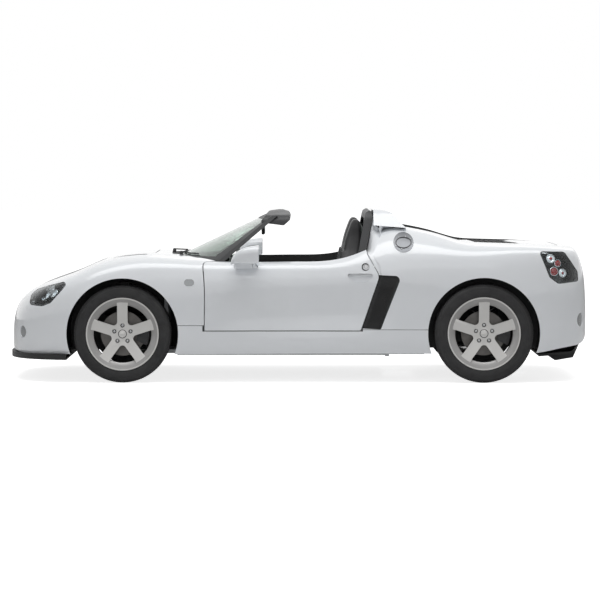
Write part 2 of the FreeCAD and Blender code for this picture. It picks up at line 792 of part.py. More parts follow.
HEADLAMP_BOWL, HEADLAMP_COVER = lamp_parts(headlamp_outline, 400, 90)
feature("headlamps", pair(HEADLAMP_BOWL))
feature("headlamp_covers", pair(HEADLAMP_COVER))
TAIL_BOWL, TAIL_COVER = lamp_parts(tail_lamp_outline, 520, 70)
feature("tail_lamps", pair(TAIL_BOWL))
feature("tail_lamp_covers", pair(TAIL_COVER))


TOW_EYE_Y, TOW_EYE_Z = -230, 400
GRILLE_GAP = 16


def front_grille():
    """Slats in three framed sections, set in the mouth of the nose.

    The towing eye passes between the left section and the middle one.
    """
    rim = centre_opening(-float(SEAT))
    hole = centre_opening(-14)
    depth = block(NOSE + 14, NOSE + 70, -WIDE, WIDE, 0, HIGH)
    frame = rim.cut(hole).common(depth).common(OUTER)
    slats = []
    for step in range(1, 8):
        z = GRILLE_FOOT + step * 25
        slats.append(block(NOSE + 50, NOSE + 66, -WIDE, WIDE, z - 4, z + 4))
    for y in (-250, -210, -140, -70, 0, 70, 140, 210, 250):
        slats.append(block(NOSE + 54, NOSE + 66, y - 4, y + 4, 0, HIGH))
    bars = slats[0].fuse(slats[1:]).common(centre_opening(-10))
    gap = block(-HIGH, 0, TOW_EYE_Y - GRILLE_GAP, TOW_EYE_Y + GRILLE_GAP, 0, HIGH)
    return frame.fuse(bars).cut(gap.fuse(other_side(gap)))


feature("front_grille", front_grille())


def side_intake():
    """The left side intake's insert, set back from the skin behind the door."""
    wire = rounded(intake_outline, lambda a, b: Vector(a, -WIDE, b))
    face = Part.Face(wire).makeOffset2D(-float(SEAT))
    return layer(face.extrude(Vector(0, 600, 0)).toNurbs(), 12, 22)


feature("side_intakes", pair(side_intake()))


def small_lamps():
    """The left side repeater, bumper lamp and rear reflector."""
    lens = [
        layer(repeater(-float(SEAT)), -3, 20),
        layer(bumper_lamp(-float(SEAT)), 4, 24),
        layer(tail_reflector(-float(SEAT)), 4, 24),
    ]
    return Part.makeCompound([part.Solids[0] for part in lens])


feature("small_lamps", pair(small_lamps()))


def bonnet_outlet():
    """The left bonnet outlet's insert: a sunk tray with louvres."""
    tray = layer(bonnet_vent(-float(SEAT)), 16, 22)
    fins = []
    for step in range(5):
        x = float(FRONT_AXLE) - 70 + 44 * step
        fin = side_view([(x, 740), (x + 6, 740), (x + 34, 840), (x + 28, 840)], -600, -400)
        fins.append(layer(fin.common(bonnet_vent(-1.0)), 5, 18))
    return tray.fuse(fins)


feature("bonnet_vents", pair(bonnet_outlet()))
feature("fuel_cap", layer(filler(-float(SEAT)), -1, 20))


# Windscreen

SCREEN_LOW, SCREEN_HIGH = 772, 1075
SCREEN_TOP_HALF = 548


def screen_ring(nose, half, sweep, height, outside, inside):
    """One level of the windscreen's slab, as a wire round its bowed section."""
    def bow(offset):
        ends = (Vector(nose + sweep + offset, -half, height), Vector(nose + sweep + offset, half, height))
        return ends[0], Vector(nose + offset, 0, height), ends[1]

    first, crown, last = bow(-outside)
    under_first, under_crown, under_last = bow(inside)
    return Part.Wire([
        Part.Arc(first, crown, last).toShape(), Part.makeLine(last, under_last),
        Part.Arc(under_last, under_crown, under_first).toShape(), Part.makeLine(under_first, first)])


def screen_slab(border, outside, inside, low, high):
    """The windscreen's slab between two heights, with its sides moved in by border."""
    def ring(height):
        share = (height - SCREEN_LOW) / (SCREEN_HIGH - SCREEN_LOW)
        nose = float(SCREEN_NOSE) - 10 + share * 638
        half = SCREEN_HALF + share * (SCREEN_TOP_HALF - SCREEN_HALF) - border
        full = SCREEN_HALF + share * (SCREEN_TOP_HALF - SCREEN_HALF)
        sweep = (SCREEN_SWEEP + share * (50 - SCREEN_SWEEP)) * (half / full) ** 2
        return screen_ring(nose, half, sweep, height, outside, inside)

    return Part.makeLoft([ring(low), ring(high)], True, True)


def windscreen_frame():
    """The black pillars, header and lower rail that carry the windscreen."""
    slab = screen_slab(0, 3, 36, SCREEN_LOW, SCREEN_HIGH)
    opening = screen_slab(56, 40, 80, SCREEN_LOW + 38, SCREEN_HIGH - 22)
    header_side = [
        (FRONT_AXLE + 882, 1030, 10), (FRONT_AXLE + 935, 1092, 40), (FRONT_AXLE + 1020, 1106, 30),
        (FRONT_AXLE + 1076, 1085, 24), (FRONT_AXLE + 1084, 1050, 20), (FRONT_AXLE + 1040, 1010, 20)]
    header_front = [
        (-572, 985, 20), (572, 985, 20), (545, 1074, 60), (250, 1103, 300), (-250, 1103, 300), (-545, 1074, 60)]
    header = side_view(header_side, -WIDE, WIDE).common(front_view(header_front, -HIGH, HIGH))
    frame = slab.cut(opening).fuse(header)
    posts = [hinge_post(float(GAP), 300, 900), other_side(hinge_post(float(GAP), 300, 900))]
    frame = frame.cut(OUTER.common(block(-HIGH, SCREEN_NOSE + 420, -WIDE, WIDE, 0, 790)))
    for post in posts:
        frame = frame.cut(post)
    return frame.cut(windscreen_glass_space(float(SEAT)))


def windscreen_glass_space(grow):
    """The glass between the pillars, grown by a gap."""
    return screen_slab(56 - 12 - grow, -1 + grow, 1 + float(size("glass")) + grow,
                       SCREEN_LOW + 26 - grow, SCREEN_HIGH - 12 + grow)


FRAME = windscreen_frame()
feature("windscreen_frame", FRAME)
feature("windscreen", windscreen_glass_space(0))


# Roll hoop and its cover

def arched(half, front, rear):
    """A solid across the car between two X planes, from half a front-view outline of (y, z) corners."""
    left = [(-1 * c[0],) + tuple(c[1:]) for c in reversed(half)]
    return front_view(list(half) + left, front, rear)


def hoop_band(outer, inner):
    """An arch in front view, from its outer and inner half outlines."""
    return arched(outer, -HIGH, HIGH).cut(arched(inner, -HIGH, HIGH))


HOOP_X = DOOR_END - 103
SILL_BEAM_TOP = 430
HOOP_FOOT = SILL_BEAM_TOP + float(SEAT)
hoop_side = [
    (HOOP_X - 76, HOOP_FOOT), (HOOP_X - 29, HOOP_FOOT), (HOOP_X + 6, 790), (HOOP_X + 60, 1058, 20),
    (HOOP_X + 52, HOOP_TOP - 3, 14), (HOOP_X + 14, HOOP_TOP - 25, 30), (HOOP_X - 42, 790)]
roll_hoop = side_view(hoop_side, -WIDE, WIDE).common(hoop_band(
    [(640, HOOP_FOOT), (640, 780), (482, HOOP_TOP - 4, 110)], [(580, 200), (580, 770), (425, HOOP_TOP - 62, 70)]))
cover_side = [
    (HOOP_X + 66, 1012), (HOOP_X + 66, HOOP_TOP - 1, 8), (HOOP_X + 120, HOOP_TOP - 8, 60),
    (HOOP_X + 190, 1092, 40), (HOOP_X + 240, 1030, 60), (HOOP_X + 278, 996)]
hoop_cover = side_view(cover_side, -WIDE, WIDE).common(hoop_band(
    [(640, 960), (505, HOOP_TOP, 120)], [(470, 900), (425, HOOP_TOP - 52, 60)]))
CLAM = NODES[1].Shape
feature("roll_hoop", roll_hoop.cut(CLAM))
WINDOW_EDGE = SEAT + 0.2
window_side = [(HOOP_X + 4, 800), (HOOP_X + 10, 800), (HOOP_X + 44, 1062), (HOOP_X + 38, 1062)]
window_front = [
    (580 - WINDOW_EDGE, 200), (580 - WINDOW_EDGE, 770), (425 - WINDOW_EDGE, HOOP_TOP - 62 - WINDOW_EDGE, 70)]
feature("rear_window", side_view(window_side, -WIDE, WIDE).common(arched(window_front, 0, HOOP_X + 300)))
feature("roll_hoop_cover", hoop_cover.cut(CLAM).cut(OUTER))



# Tub, bays and arch liners

ARCH_CLEAR = 15
LINER = 8


def well(axle, radius_name, grow):
    """The space of an axle's arches, grown by a clearance."""
    foot = Vector(axle, -WIDE, size(radius_name))
    return Part.makeCylinder(float(size("arch_radius")) + grow, 2 * WIDE, foot, Y_AXIS)


def lining(*rooms):
    """What the panels' inner side bounds of some rooms."""
    return Part.makeCompound([room.common(near(LINING, room)) for room in rooms])


BAY_HALF = 385
FRONT_BULKHEAD = FRONT_AXLE + 252
REAR_BULKHEAD = DOOR_END + 36
POST_HALF = 685
CABIN = size("cabin_half_width")
WALL = size("tub_wall")


def tub():
    """Floor, sill beams, door posts and bulkheads: the structure that carries the rest."""
    floor = block(FRONT_BULKHEAD, REAR_BULKHEAD, -1 * CABIN - 5, CABIN + 5, FLOOR, FLOOR + WALL)
    nose_floor = block(FRONT_BULKHEAD, FRONT_BULKHEAD + 160, -BAY_HALF, BAY_HALF, FLOOR, FLOOR + WALL)
    sill_low = block(FRONT_AXLE + 384, REAR_AXLE - 384, -WIDE, -1 * CABIN, SILL, size("door_sill") - 8)
    sill_high = block(FRONT_AXLE + 400, REAR_BULKHEAD + WALL, -690, -1 * CABIN, 300, SILL_BEAM_TOP)
    post = block(FRONT_AXLE + 400, HINGE_X - 80, -POST_HALF, -1 * CABIN, 300, 700)
    low = block(FRONT_BULKHEAD, FRONT_BULKHEAD + WALL, -BAY_HALF, BAY_HALF, FLOOR, 620)
    high = block(FRONT_BULKHEAD, FRONT_BULKHEAD + WALL, -720, 720, 596, HIGH)
    rear = block(REAR_BULKHEAD, REAR_BULKHEAD + WALL, -POST_HALF, POST_HALF, FLOOR, 820)
    lugs = []
    for level in HINGE_LEVELS:
        arm = block(HINGE_X - 90, HINGE_X + 10, -POST_HALF, -620, level + 6, level + HINGE_SLOT - 6)
        eye = Part.makeCylinder(18, HINGE_SLOT - 12, Vector(HINGE_X, -1 * size("hinge_inset"), level + 6))
        reach = block(HINGE_X - 12, HINGE_X + 10, -1 * size("hinge_inset"), -620, level + 6, level + HINGE_SLOT - 6)
        lugs += [arm, eye, reach, hinge_pin(level, 0)]
    side = lining(sill_low, sill_high).Solids + [post.common(LINING)] + lugs
    side = side[0].fuse(side[1:])
    across = lining(high, rear).Solids + [floor, nose_floor, low]
    whole = side.fuse([other_side(side)] + across)
    for axle, name in ((FRONT_AXLE, "front_tyre_radius"), (REAR_AXLE, "rear_tyre_radius")):
        whole = whole.cut(well(axle, name, ARCH_CLEAR).cut(
            block(-HIGH, HIGH, -BAY_HALF, BAY_HALF, 0, HIGH)))
    return whole.removeSplitter()


feature("tub", tub())


def arch_liner(axle, radius_name, inner):
    """A left wheel arch's liner, from the panel's inner side to the wheel's inner side."""
    ring = well(axle, radius_name, 6 + LINER).cut(well(axle, radius_name, 6))
    reach = block(-HIGH, HIGH, -WIDE, -1 * inner, float(SILL) + 30, HIGH)
    ring = ring.common(reach)
    return ring.common(near(LINING, ring))


def arch_wall():
    """The left rear arch's inner wall, with windows for the wishbones."""
    axle = float(REAR_AXLE)
    wall = well(axle, "rear_tyre_radius", 6 + LINER).common(
        block(-HIGH, HIGH, -598, -590, float(SILL) + 30, HIGH))
    windows = [
        block(axle - 176, axle + 176, -WIDE, 0, 195, 256),
        block(axle - 176, axle + 176, -WIDE, 0, 388, 508)]
    return wall.cut(windows[0].fuse(windows[1:]))


rear_liner = arch_liner(REAR_AXLE, "rear_tyre_radius", 590).fuse(arch_wall())
liners = [arch_liner(FRONT_AXLE, "front_tyre_radius", BAY_HALF + 1), rear_liner]
feature("arch_liners", pair(Part.makeCompound(liners)))


def front_bay():
    """The open box under the front lid, which also carries the front suspension."""
    start = FRONT_AXLE - 470
    outer = block(start, FRONT_BULKHEAD, -BAY_HALF, BAY_HALF, 190, HIGH)
    inner = block(start + 8, FRONT_BULKHEAD, 8 - BAY_HALF, BAY_HALF - 8, 198, HIGH)
    box = outer.cut(inner)
    box = box.common(near(LINING, box))
    box = box.cut(block(-HIGH, HIGH, -300, 300, 760, HIGH)).cut(
        plan_view([
            (FRONT_LID_NOSE - 30, -290), (FRONT_LID_END + 30, -374), (FRONT_LID_END + 30, 374),
            (FRONT_LID_NOSE - 30, 290)], 560, HIGH))
    mount = block(FRONT_AXLE - 35, FRONT_AXLE + 35, -500, 1 - BAY_HALF, 622, 640)
    mouth = Vector(start - 33, TOW_EYE_Y, TOW_EYE_Z)
    eye = Part.makeCylinder(20, 36, mouth, X_AXIS)
    shank = Part.makeCylinder(float(size("tow_eye_radius")), 28, mouth, X_AXIS)
    return box.fuse([mount, other_side(mount), eye]).cut(shank)


feature("front_bay", front_bay())


def rear_frame():
    """Rails, posts and cross members behind the cabin, with the boot's box on top."""
    start = REAR_BULKHEAD + WALL
    rail = block(start, TAIL - 190, -330, -290, 205, 245)
    cross = [block(x, x + 40, -330, 330, 205, 245) for x in (REAR_AXLE - 440, REAR_AXLE - 100, TAIL - 230)]
    posts = [block(REAR_AXLE + along, REAR_AXLE + along + 34, -330, -290, 205, 560) for along in (-160, 126)]
    beam = block(REAR_AXLE - 160, TAIL - 190, -330, -290, 520, 560)
    shelf = block(REAR_AXLE - 30, REAR_AXLE + 30, -500, -290, 600, 618)
    strut = block(REAR_AXLE - 30, REAR_AXLE + 30, -330, -290, 520, 618)
    tail_post = block(TAIL - 230, TAIL - 190, -330, -290, 205, 560)
    left = [rail, beam, shelf, strut, tail_post] + posts
    boot = block(REAR_AXLE + 200, TAIL - 170, -440, 440, 560, 800).cut(
        block(REAR_AXLE + 208, TAIL - 178, -432, 432, 568, 900))
    whole = rail.fuse(left[1:] + cross + [boot])
    return whole.fuse(other_side(left[0].fuse(left[1:])))


feature("rear_frame", rear_frame())


def engine():
    """The engine and gearbox as one block at its place across the car."""
    return block(REAR_AXLE - 440, REAR_AXLE - 60, -286, 286, 245, 720)


feature("engine_block", engine())


# Wheels, turned about Y at their own centres and then set at the corners of the car

def plane_of(body, role):
    """One of a body's own origin planes."""
    return [part for part in body.Origin.OriginFeatures if part.Role == role][0]


def sketch_on(body, name, role):
    """An empty sketch on one of a body's origin planes."""
    sketch = body.newObject("Sketcher::SketchObject", name)
    sketch.AttachmentSupport = [(plane_of(body, role), "")]
    sketch.MapMode = "FlatFace"
    return sketch


def rule(sketch, kind, *parts):
    """Add a constraint whose last entry may be a Size, and bind it to the sheet."""
    value = parts[-1]
    if isinstance(value, Size):
        index = sketch.addConstraint(Sketcher.Constraint(kind, *parts[:-1], float(value)))
        sketch.setExpression(f"Constraints[{index}]", value.formula)
    else:
        sketch.addConstraint(Sketcher.Constraint(kind, *parts))


def draw_ring(sketch, corners):
    """Draw a closed outline of straight lines, each corner held by its two coordinates."""
    count = len(corners)
    for i, (a, b) in enumerate(corners):
        c, d = corners[(i + 1) % count]
        sketch.addGeometry(Part.LineSegment(Vector(a, b, 0), Vector(c, d, 0)), False)
    for i, (a, b) in enumerate(corners):
        rule(sketch, "Coincident", (i - 1) % count, 2, i, 1)
        rule(sketch, "DistanceX", -1, 1, i, 1, a)
        rule(sketch, "DistanceY", -1, 1, i, 1, b)


def revolved(label, corners):
    """A body turned about Y from an outline of (across, radius) corners."""
    body = doc.addObject("PartDesign::Body", label)
    sketch = sketch_on(body, f"{label}_outline", "YZ_Plane")
    draw_ring(sketch, corners)
    turned = body.newObject("PartDesign::Revolution", f"{label}_turned")
    turned.Profile = sketch
    turned.ReferenceAxis = (sketch, ["H_Axis"])
    turned.Angle = 360
    return body


def tyre(label, radius, width, rim_width):
    """A hollow tyre, with beads that sit inside the rim's lips."""
    half = width / 2
    seat = rim_width / 2
    edge = size("rim_radius")
    flank = [(seat - 13, edge - 17), (seat - 9, edge + 0.5), (half, edge + 32), (half * 0.80, radius)]
    corners = flank + [(-1 * a, b) for a, b in reversed(flank)]
    corners += [(half * -0.74, radius - 22), (half * 0.74, radius - 22)]
    return revolved(label, corners)


def rim(label, width):
    """A five-spoke wheel: barrel and dished face turned in one, with five windows and bolt seats."""
    half = width / 2
    edge = size("rim_radius")
    corners = [
        (half - 20, 0), (half - 20, 70), (half - 8, edge - 30), (half - 3, edge - 9), (half, edge - 9),
        (half, edge), (half - 8, edge), (half - 12, edge - 18), (half - 42, edge - 20), (half - 58, edge - 36),
        (16 - half * 0.4, edge - 36), (42 - half, edge - 20), (12 - half, edge - 18), (8 - half, edge),
        (-1 * half, edge),
        (-1 * half, edge - 9),
        (16 - half, edge - 27), (10 - half * 0.4, edge - 45), (half - 62, edge - 45), (half - 36, edge - 52),
        (half - 52, 76), (half - 62, 70), (half - 62, 0)]
    body = revolved(label, corners)
    window = sketch_on(body, f"{label}_window", "XZ_Plane")
    draw_window(window, edge - 49)
    holes = body.newObject("PartDesign::Pocket", f"{label}_windows")
    holes.Profile = window
    holes.Type = "ThroughAll"
    holes.Midplane = True
    five = body.newObject("PartDesign::PolarPattern", f"{label}_spokes")
    five.Originals = [holes]
    five.Axis = (window, ["N_Axis"])
    five.Angle = 360
    five.Occurrences = 5
    body.Tip = five
    seats = sketch_on(body, f"{label}_bolt_seat", "XZ_Plane")
    seats.addGeometry(Part.Circle(Vector(0, 55, 0), Z_AXIS, 12), False)
    rule(seats, "Radius", 0, 12)
    rule(seats, "DistanceX", -1, 1, 0, 3, 0)
    rule(seats, "DistanceY", -1, 1, 0, 3, size("bolt_circle") / 2)
    bolts = body.newObject("PartDesign::Pocket", f"{label}_bolt_seats")
    bolts.Profile = seats
    bolts.Type = "Length"
    bolts.Length = 12
    bind(seats, **{"AttachmentOffset.Base.z": -1 * (half - 20)})
    bolts.Reversed = True
    ring = body.newObject("PartDesign::PolarPattern", f"{label}_bolts")
    ring.Originals = [bolts]
    ring.Axis = (seats, ["N_Axis"])
    ring.Angle = 360
    ring.Occurrences = 5
    body.Tip = ring
    return body


def draw_window(sketch, outer):
    """One window: between two spokes whose sides run parallel to their spokes' middles."""
    half_spoke = size("spoke_width") / 2
    slope = math.radians(36)
    side = Vector(math.sin(slope), -math.cos(slope), 0)
    root = float(half_spoke) / math.sin(slope)
    reach = math.sqrt(float(outer) ** 2 - float(half_spoke) ** 2) - float(half_spoke) / math.tan(slope)
    fillet = 24
    heel = fillet / math.tan(slope)
    heart = Vector(0, -root - fillet / math.sin(slope), 0)
    tip = Vector(0, -root, 0)
    right_start, right_end = tip + side * heel, tip + side * reach
    left_start = Vector(-right_start.x, right_start.y, 0)
    left_end = Vector(-right_end.x, right_end.y, 0)
    sketch.addGeometry(Part.LineSegment(right_start, right_end), False)
    sketch.addGeometry(Part.Arc(right_end, Vector(0, -float(outer), 0), left_end), False)
    sketch.addGeometry(Part.LineSegment(left_end, left_start), False)
    sketch.addGeometry(Part.Arc(left_start, heart + Vector(0, fillet, 0), right_start), False)


def wheel(end, side):
    """Tyre, wheel and brake disc of one corner of the car."""
    name = {LEFT: "left", RIGHT: "right"}[side]
    radius = size(f"{end}_tyre_radius")
    width = size(f"{end}_rim_width")
    axle = FRONT_AXLE if end == "front" else REAR_AXLE
    half = width / 2
    disc = size("disc_radius")
    hub = half - 62
    stub = size("stub_radius") + 0.3
    parts = [
        tyre(f"{end}_tyre_{name}", radius, size(f"{end}_tyre_width"), width),
        rim(f"{end}_wheel_{name}", width),
        revolved(f"{end}_disc_{name}", [
            (hub, stub), (hub, 78), (hub - 22, 78), (hub - 22, disc), (hub - 46, disc), (hub - 46, 70),
            (hub - 9, 70), (hub - 9, stub)]),
    ]
    turn = FreeCAD.Rotation(Z_AXIS, 180 if side == LEFT else 0)
    for part in parts:
        place(part, x=axle, y=side * (size(f"{end}_track") / 2), z=radius, turn=turn)
        node(part, part.Name)


for wheel_end in ("front", "rear"):
    for wheel_side in (LEFT, RIGHT):
        wheel(wheel_end, wheel_side)


# Knuckles and suspension

KINGPIN_LEAN = 0.10
KINGPIN_CASTER = 0.066
PIN_REACH = 118


def kingpin(side, height=0.0):
    """A point on a front wheel's steering axis, at a distance along it from hub height."""
    upright = math.sqrt(1 - KINGPIN_LEAN ** 2 - KINGPIN_CASTER ** 2)
    middle = float(size("front_track") / 2 - size("kingpin_offset"))
    return Vector(
        float(FRONT_AXLE) + KINGPIN_CASTER * height,
        side * (middle - KINGPIN_LEAN * height),
        float(size("front_tyre_radius")) + upright * height)


def caliper(hub, disc_radius):
    """A brake caliper over a disc, in the wheel's own frame with Y outwards."""
    inner, outer = hub - 46, hub - 22
    ring = Part.makeCylinder(172, 82, Vector(0, inner - 30, 0), Y_AXIS).cut(
        Part.makeCylinder(96, 82, Vector(0, inner - 30, 0), Y_AXIS))
    wedge = side_view([(0, 0), (300, -150), (300, 150)], inner - 30, outer + 26)
    slot = Part.makeCylinder(disc_radius + 5, outer - inner + 10, Vector(0, inner - 5, 0), Y_AXIS)
    return ring.common(wedge).cut(slot)


def carrier(hub, disc_radius):
    """The part of a hub carrier that does not steer: bearing, stub axle and caliper."""
    inner = hub - 46
    bearing = Part.makeCylinder(44, 62, Vector(0, inner - 68, 0), Y_AXIS)
    stub = Part.makeCylinder(float(size("stub_radius")), 68 - 3, Vector(0, inner - 22, 0), Y_AXIS)
    bracket = block(20, 130, inner - 30, inner - 6, -50, 50)
    return bearing.fuse([stub, bracket, caliper(hub, disc_radius)])


def front_knuckle(side):
    """A front upright on its kingpins, with the hub carrier on it."""
    upright = rod(kingpin(side, -90), kingpin(side, 90), 24)
    pins = rod(kingpin(side, -PIN_REACH), kingpin(side, PIN_REACH), 8)
    hub = float(size("front_rim_width")) / 2 - 62
    hubs = carrier(hub, float(size("disc_radius")))
    if side == LEFT:
        hubs = other_side(hubs)
    hubs.translate(Vector(FRONT_AXLE, side * (size("front_track") / 2), size("front_tyre_radius")))
    return upright.fuse([pins, hubs])


for wheel_side, wheel_name in ((LEFT, "left"), (RIGHT, "right")):
    feature(f"front_knuckle_{wheel_name}", front_knuckle(wheel_side))


def rear_knuckle():
    """The left rear hub carrier."""
    hub = float(size("rear_rim_width")) / 2 - 62
    hubs = other_side(carrier(hub, float(size("disc_radius"))))
    post = block(-22, 22, -(hub - 46 - 68) , -(hub - 46 - 68) + 34, -110, 110)
    hubs = hubs.fuse(post)
    hubs.translate(Vector(REAR_AXLE, -1 * (size("rear_track") / 2), size("rear_tyre_radius")))
    return hubs


feature("rear_knuckles", pair(rear_knuckle()))


def front_arms():
    """The left front wishbones, from eyes round the kingpins to the bay's wall."""
    parts = []
    for height, level, seat_plate in ((-108, 214, True), (108, 424, False)):
        heart = kingpin(LEFT, height)
        eye = rod(kingpin(LEFT, height - 10), kingpin(LEFT, height + 10), 20)
        bore = rod(kingpin(LEFT, height - 20), kingpin(LEFT, height + 20), 8.6)
        legs = [rod(heart, Vector(FRONT_AXLE + along, -350, level), 11) for along in (-150, 150)]
        if seat_plate:
            legs.append(block(FRONT_AXLE - 50, FRONT_AXLE + 50, -585, -535, level - 8, level + 8))
        arm = eye.fuse(legs).cut(bore)
        arm = arm.cut(block(-HIGH, HIGH, -BAY_HALF - 0.3, 0, 0, HIGH))
        parts.append(arm)
    return Part.makeCompound(parts)




def rear_arms():
    """The left rear wishbones, from the hub carrier to the frame's rails and posts."""
    outer = float(size("rear_track")) / 2 + (float(size("rear_rim_width")) / 2 - 62 - 46 - 68) - 17
    parts = []
    for height, level in ((-95, 225), (95, 480)):
        heart = Vector(REAR_AXLE, -outer, float(size("rear_tyre_radius")) + height)
        legs = [rod(heart, Vector(REAR_AXLE + along, -300, level), 12) for along in (-143, 143)]
        if level == 225:
            legs.append(block(REAR_AXLE - 50, REAR_AXLE + 50, -585, -535, level - 8, level + 8))
        arm = legs[0].fuse(legs[1:])
        parts.append(arm.cut(block(-HIGH, HIGH, -330.3, 0, 0, HIGH)).cut(rear_knuckle()))
    return Part.makeCompound(parts)


feature("wishbones", pair(Part.makeCompound(front_arms().Solids + rear_arms().Solids)))


def coil_over(low, high, radius):
    """A damper with its spring round it, as one turned piece between two points."""
    run = high - low
    length = run.Length
    turns = 6
    corners = [(0, 0), (14, 0), (14, 40), (radius, 46)]
    pitch = (length - 150) / turns
    for turn in range(turns):
        base = 50 + turn * pitch
        corners += [
            (radius, base), (radius, base + pitch * 0.45), (radius - 12, base + pitch * 0.6),
            (radius - 12, base + pitch * 0.9)]
    corners += [(radius, length - 96), (radius, length - 88), (16, length - 84), (16, length), (0, length)]
    wire = Part.makePolygon([Vector(a, 0, b) for a, b in corners] + [Vector(0, 0, 0)])
    solid = Part.Face(wire).revolve(Vector(0, 0, 0), Z_AXIS, 360)
    solid.Placement = FreeCAD.Placement(low, FreeCAD.Rotation(Z_AXIS, run))
    return solid


front_coil = coil_over(Vector(FRONT_AXLE, -562, 216), Vector(FRONT_AXLE, -450, 630), 36).common(
    block(-HIGH, HIGH, -WIDE, 0, 222.3, 621.7))
rear_coil = coil_over(Vector(REAR_AXLE, -562, 226), Vector(REAR_AXLE, -440, 610), 36).common(
    block(-HIGH, HIGH, -WIDE, 0, 233.3, 599.7))
feature("spring_dampers", pair(Part.makeCompound([front_coil, rear_coil])))


# Cabin

def seat():
    """The left seat: cushion, back and headrest in one bucket."""
    base = float(FLOOR + WALL + SEAT)
    side = [
        (-270, base, 30), (-285, 320, 50), (140, 262, 70), (262, 800, 300), (338, 1056, 40),
        (402, 1060, 40), (440, 940, 100), (400, 640, 100), (330, base, 60)]
    half = float(size("seat_width")) / 2
    front = [
        (-half, 100), (half, 100), (half, 720, 90), (120, 880, 90), (112, 1066, 50), (-112, 1066, 50),
        (-120, 880, 90), (-half, 720, 90)]
    middle = -1 * size("seat_offset")
    shape = side_view(side, -half, half).common(front_view(front, -HIGH, HIGH))
    channel = side_view([
        (-400, 360), (-400, 300), (150, 240, 60), (290, 800, 200), (300, 900), (100, 900)], -half + 70, half - 70)
    return shift(shape.cut(channel), y=middle)


LEFT_SEAT = seat()
feature("seats", pair(LEFT_SEAT))


def dashboard():
    """The dashboard, from the front bulkhead to its rolled edge, with the instrument hood."""
    side = [
        (FRONT_BULKHEAD + WALL, 560), (FRONT_AXLE + 560, 560, 40), (FRONT_AXLE + 700, 620, 60),
        (FRONT_AXLE + 740, 765, 40), (FRONT_AXLE + 560, 784, 60), (FRONT_BULKHEAD + WALL, 800)]
    beam = side_view(side, -POST_HALF, POST_HALF)
    beam = beam.common(near(LINING, beam))
    hood = side_view([
        (FRONT_AXLE + 540, 740), (FRONT_AXLE + 660, 700), (FRONT_AXLE + 684, 808, 30), (FRONT_AXLE + 560, 816, 50)],
        -1 * size("seat_offset") - 150, -1 * size("seat_offset") + 150)
    foot = column_point(-400)
    bore = rod(foot, column_point(40), float(size("column_radius")) + 0.5)
    post = block(-HIGH, HINGE_X + 14, -WIDE, -1 * CABIN + 1, 0, 702)
    cuts = [bore, post, other_side(post), FRAME, well(FRONT_AXLE, "front_tyre_radius", ARCH_CLEAR)]
    board = beam.fuse(hood)
    for tool in cuts:
        board = board.cut(tool)
    return board


GRIP_X = FRONT_AXLE + 812
GRIP_Z = 690
COLUMN = Vector(math.cos(math.radians(26)), 0, math.sin(math.radians(26)))


def column_point(along):
    """A point on the steering column's axis, measured from the steering wheel's middle."""
    return Vector(GRIP_X, -1 * size("seat_offset"), GRIP_Z) + COLUMN * along


def steering_wheel():
    """Grip, three spokes, boss and column."""
    middle = column_point(0)
    grip = Part.makeTorus(float(size("wheel_grip")), 15, Vector(0, 0, 0), Z_AXIS)
    boss = Part.makeCylinder(38, 34, Vector(0, 0, -24))
    column = Part.makeCylinder(float(size("column_radius")), 230, Vector(0, 0, -250))
    parts = [boss, column]
    for angle in (90, 210, 330):
        spoke = block(20, size("wheel_grip"), -14, 14, -6, 2)
        spoke.rotate(Vector(0, 0, 0), Z_AXIS, angle + 180)
        parts.append(spoke)
    whole = grip.fuse(parts)
    whole.Placement = FreeCAD.Placement(middle, FreeCAD.Rotation(Z_AXIS, COLUMN))
    return whole


feature("dashboard", dashboard())
feature("steering_wheel", steering_wheel())


def console():
    """The tunnel between the seats, with gear lever and handbrake."""
    low = float(FLOOR + WALL)
    tunnel = side_view([
        (FRONT_BULKHEAD + WALL, low), (REAR_BULKHEAD, low), (REAR_BULKHEAD, 400, 20),
        (150, 330, 80), (-300, 340, 60), (-420, 470, 60), (FRONT_BULKHEAD + WALL, 470)], -70, 70)
    lever = rod(Vector(-250, 0, 330), Vector(-235, 0, 470), 8)
    knob = Part.makeSphere(24, Vector(-233, 0, 486))
    brake = rod(Vector(60, 20, 320), Vector(-150, 30, 420), 13)
    return tunnel.fuse([lever, knob, brake])


feature("centre_console", console())


# Under the nose and the tail

def front_splitter():
    """The dark lip and undertray below the nose."""
    room = block(NOSE - 40, FRONT_AXLE - 363, -WIDE, WIDE, 148, 184)
    tray = block(NOSE - 40, FRONT_AXLE - 363, -WIDE, WIDE, 148, 158)
    lip = layer(room, -12, 12)
    web = block(FRONT_AXLE - 400, FRONT_AXLE - 363, -BAY_HALF, BAY_HALF, 150, 189.7)
    return lip.fuse([tray.common(near(form(-11), tray)), web])


def rear_diffuser():
    """The dark lower tail with its fins."""
    start = REAR_AXLE + 372
    side = [(start, 158), (TAIL - 110, 176), (TAIL - 40, 246), (TAIL - 40, 262), (TAIL - 116, 192), (start, 174)]
    plate = side_view(side, -600, 600)
    fins = []
    for y in (-420, -210, 210, 420):
        fins.append(side_view([(start + 60, 160), (start + 120, 120), (TAIL - 90, 140), (TAIL - 44, 246)], y - 5, y + 5))
    webs = [side_view([(TAIL - 230, 170), (TAIL - 190, 172), (TAIL - 190, 204.7), (TAIL - 230, 204.7)], y - 20, y + 20)
            for y in (-310, 310)]
    whole = plate.fuse(fins + webs)
    return whole.common(near(form(float(PANEL) + 20), whole)).cut(tips_notch())


feature("front_splitter", front_splitter())
feature("rear_diffuser", rear_diffuser())


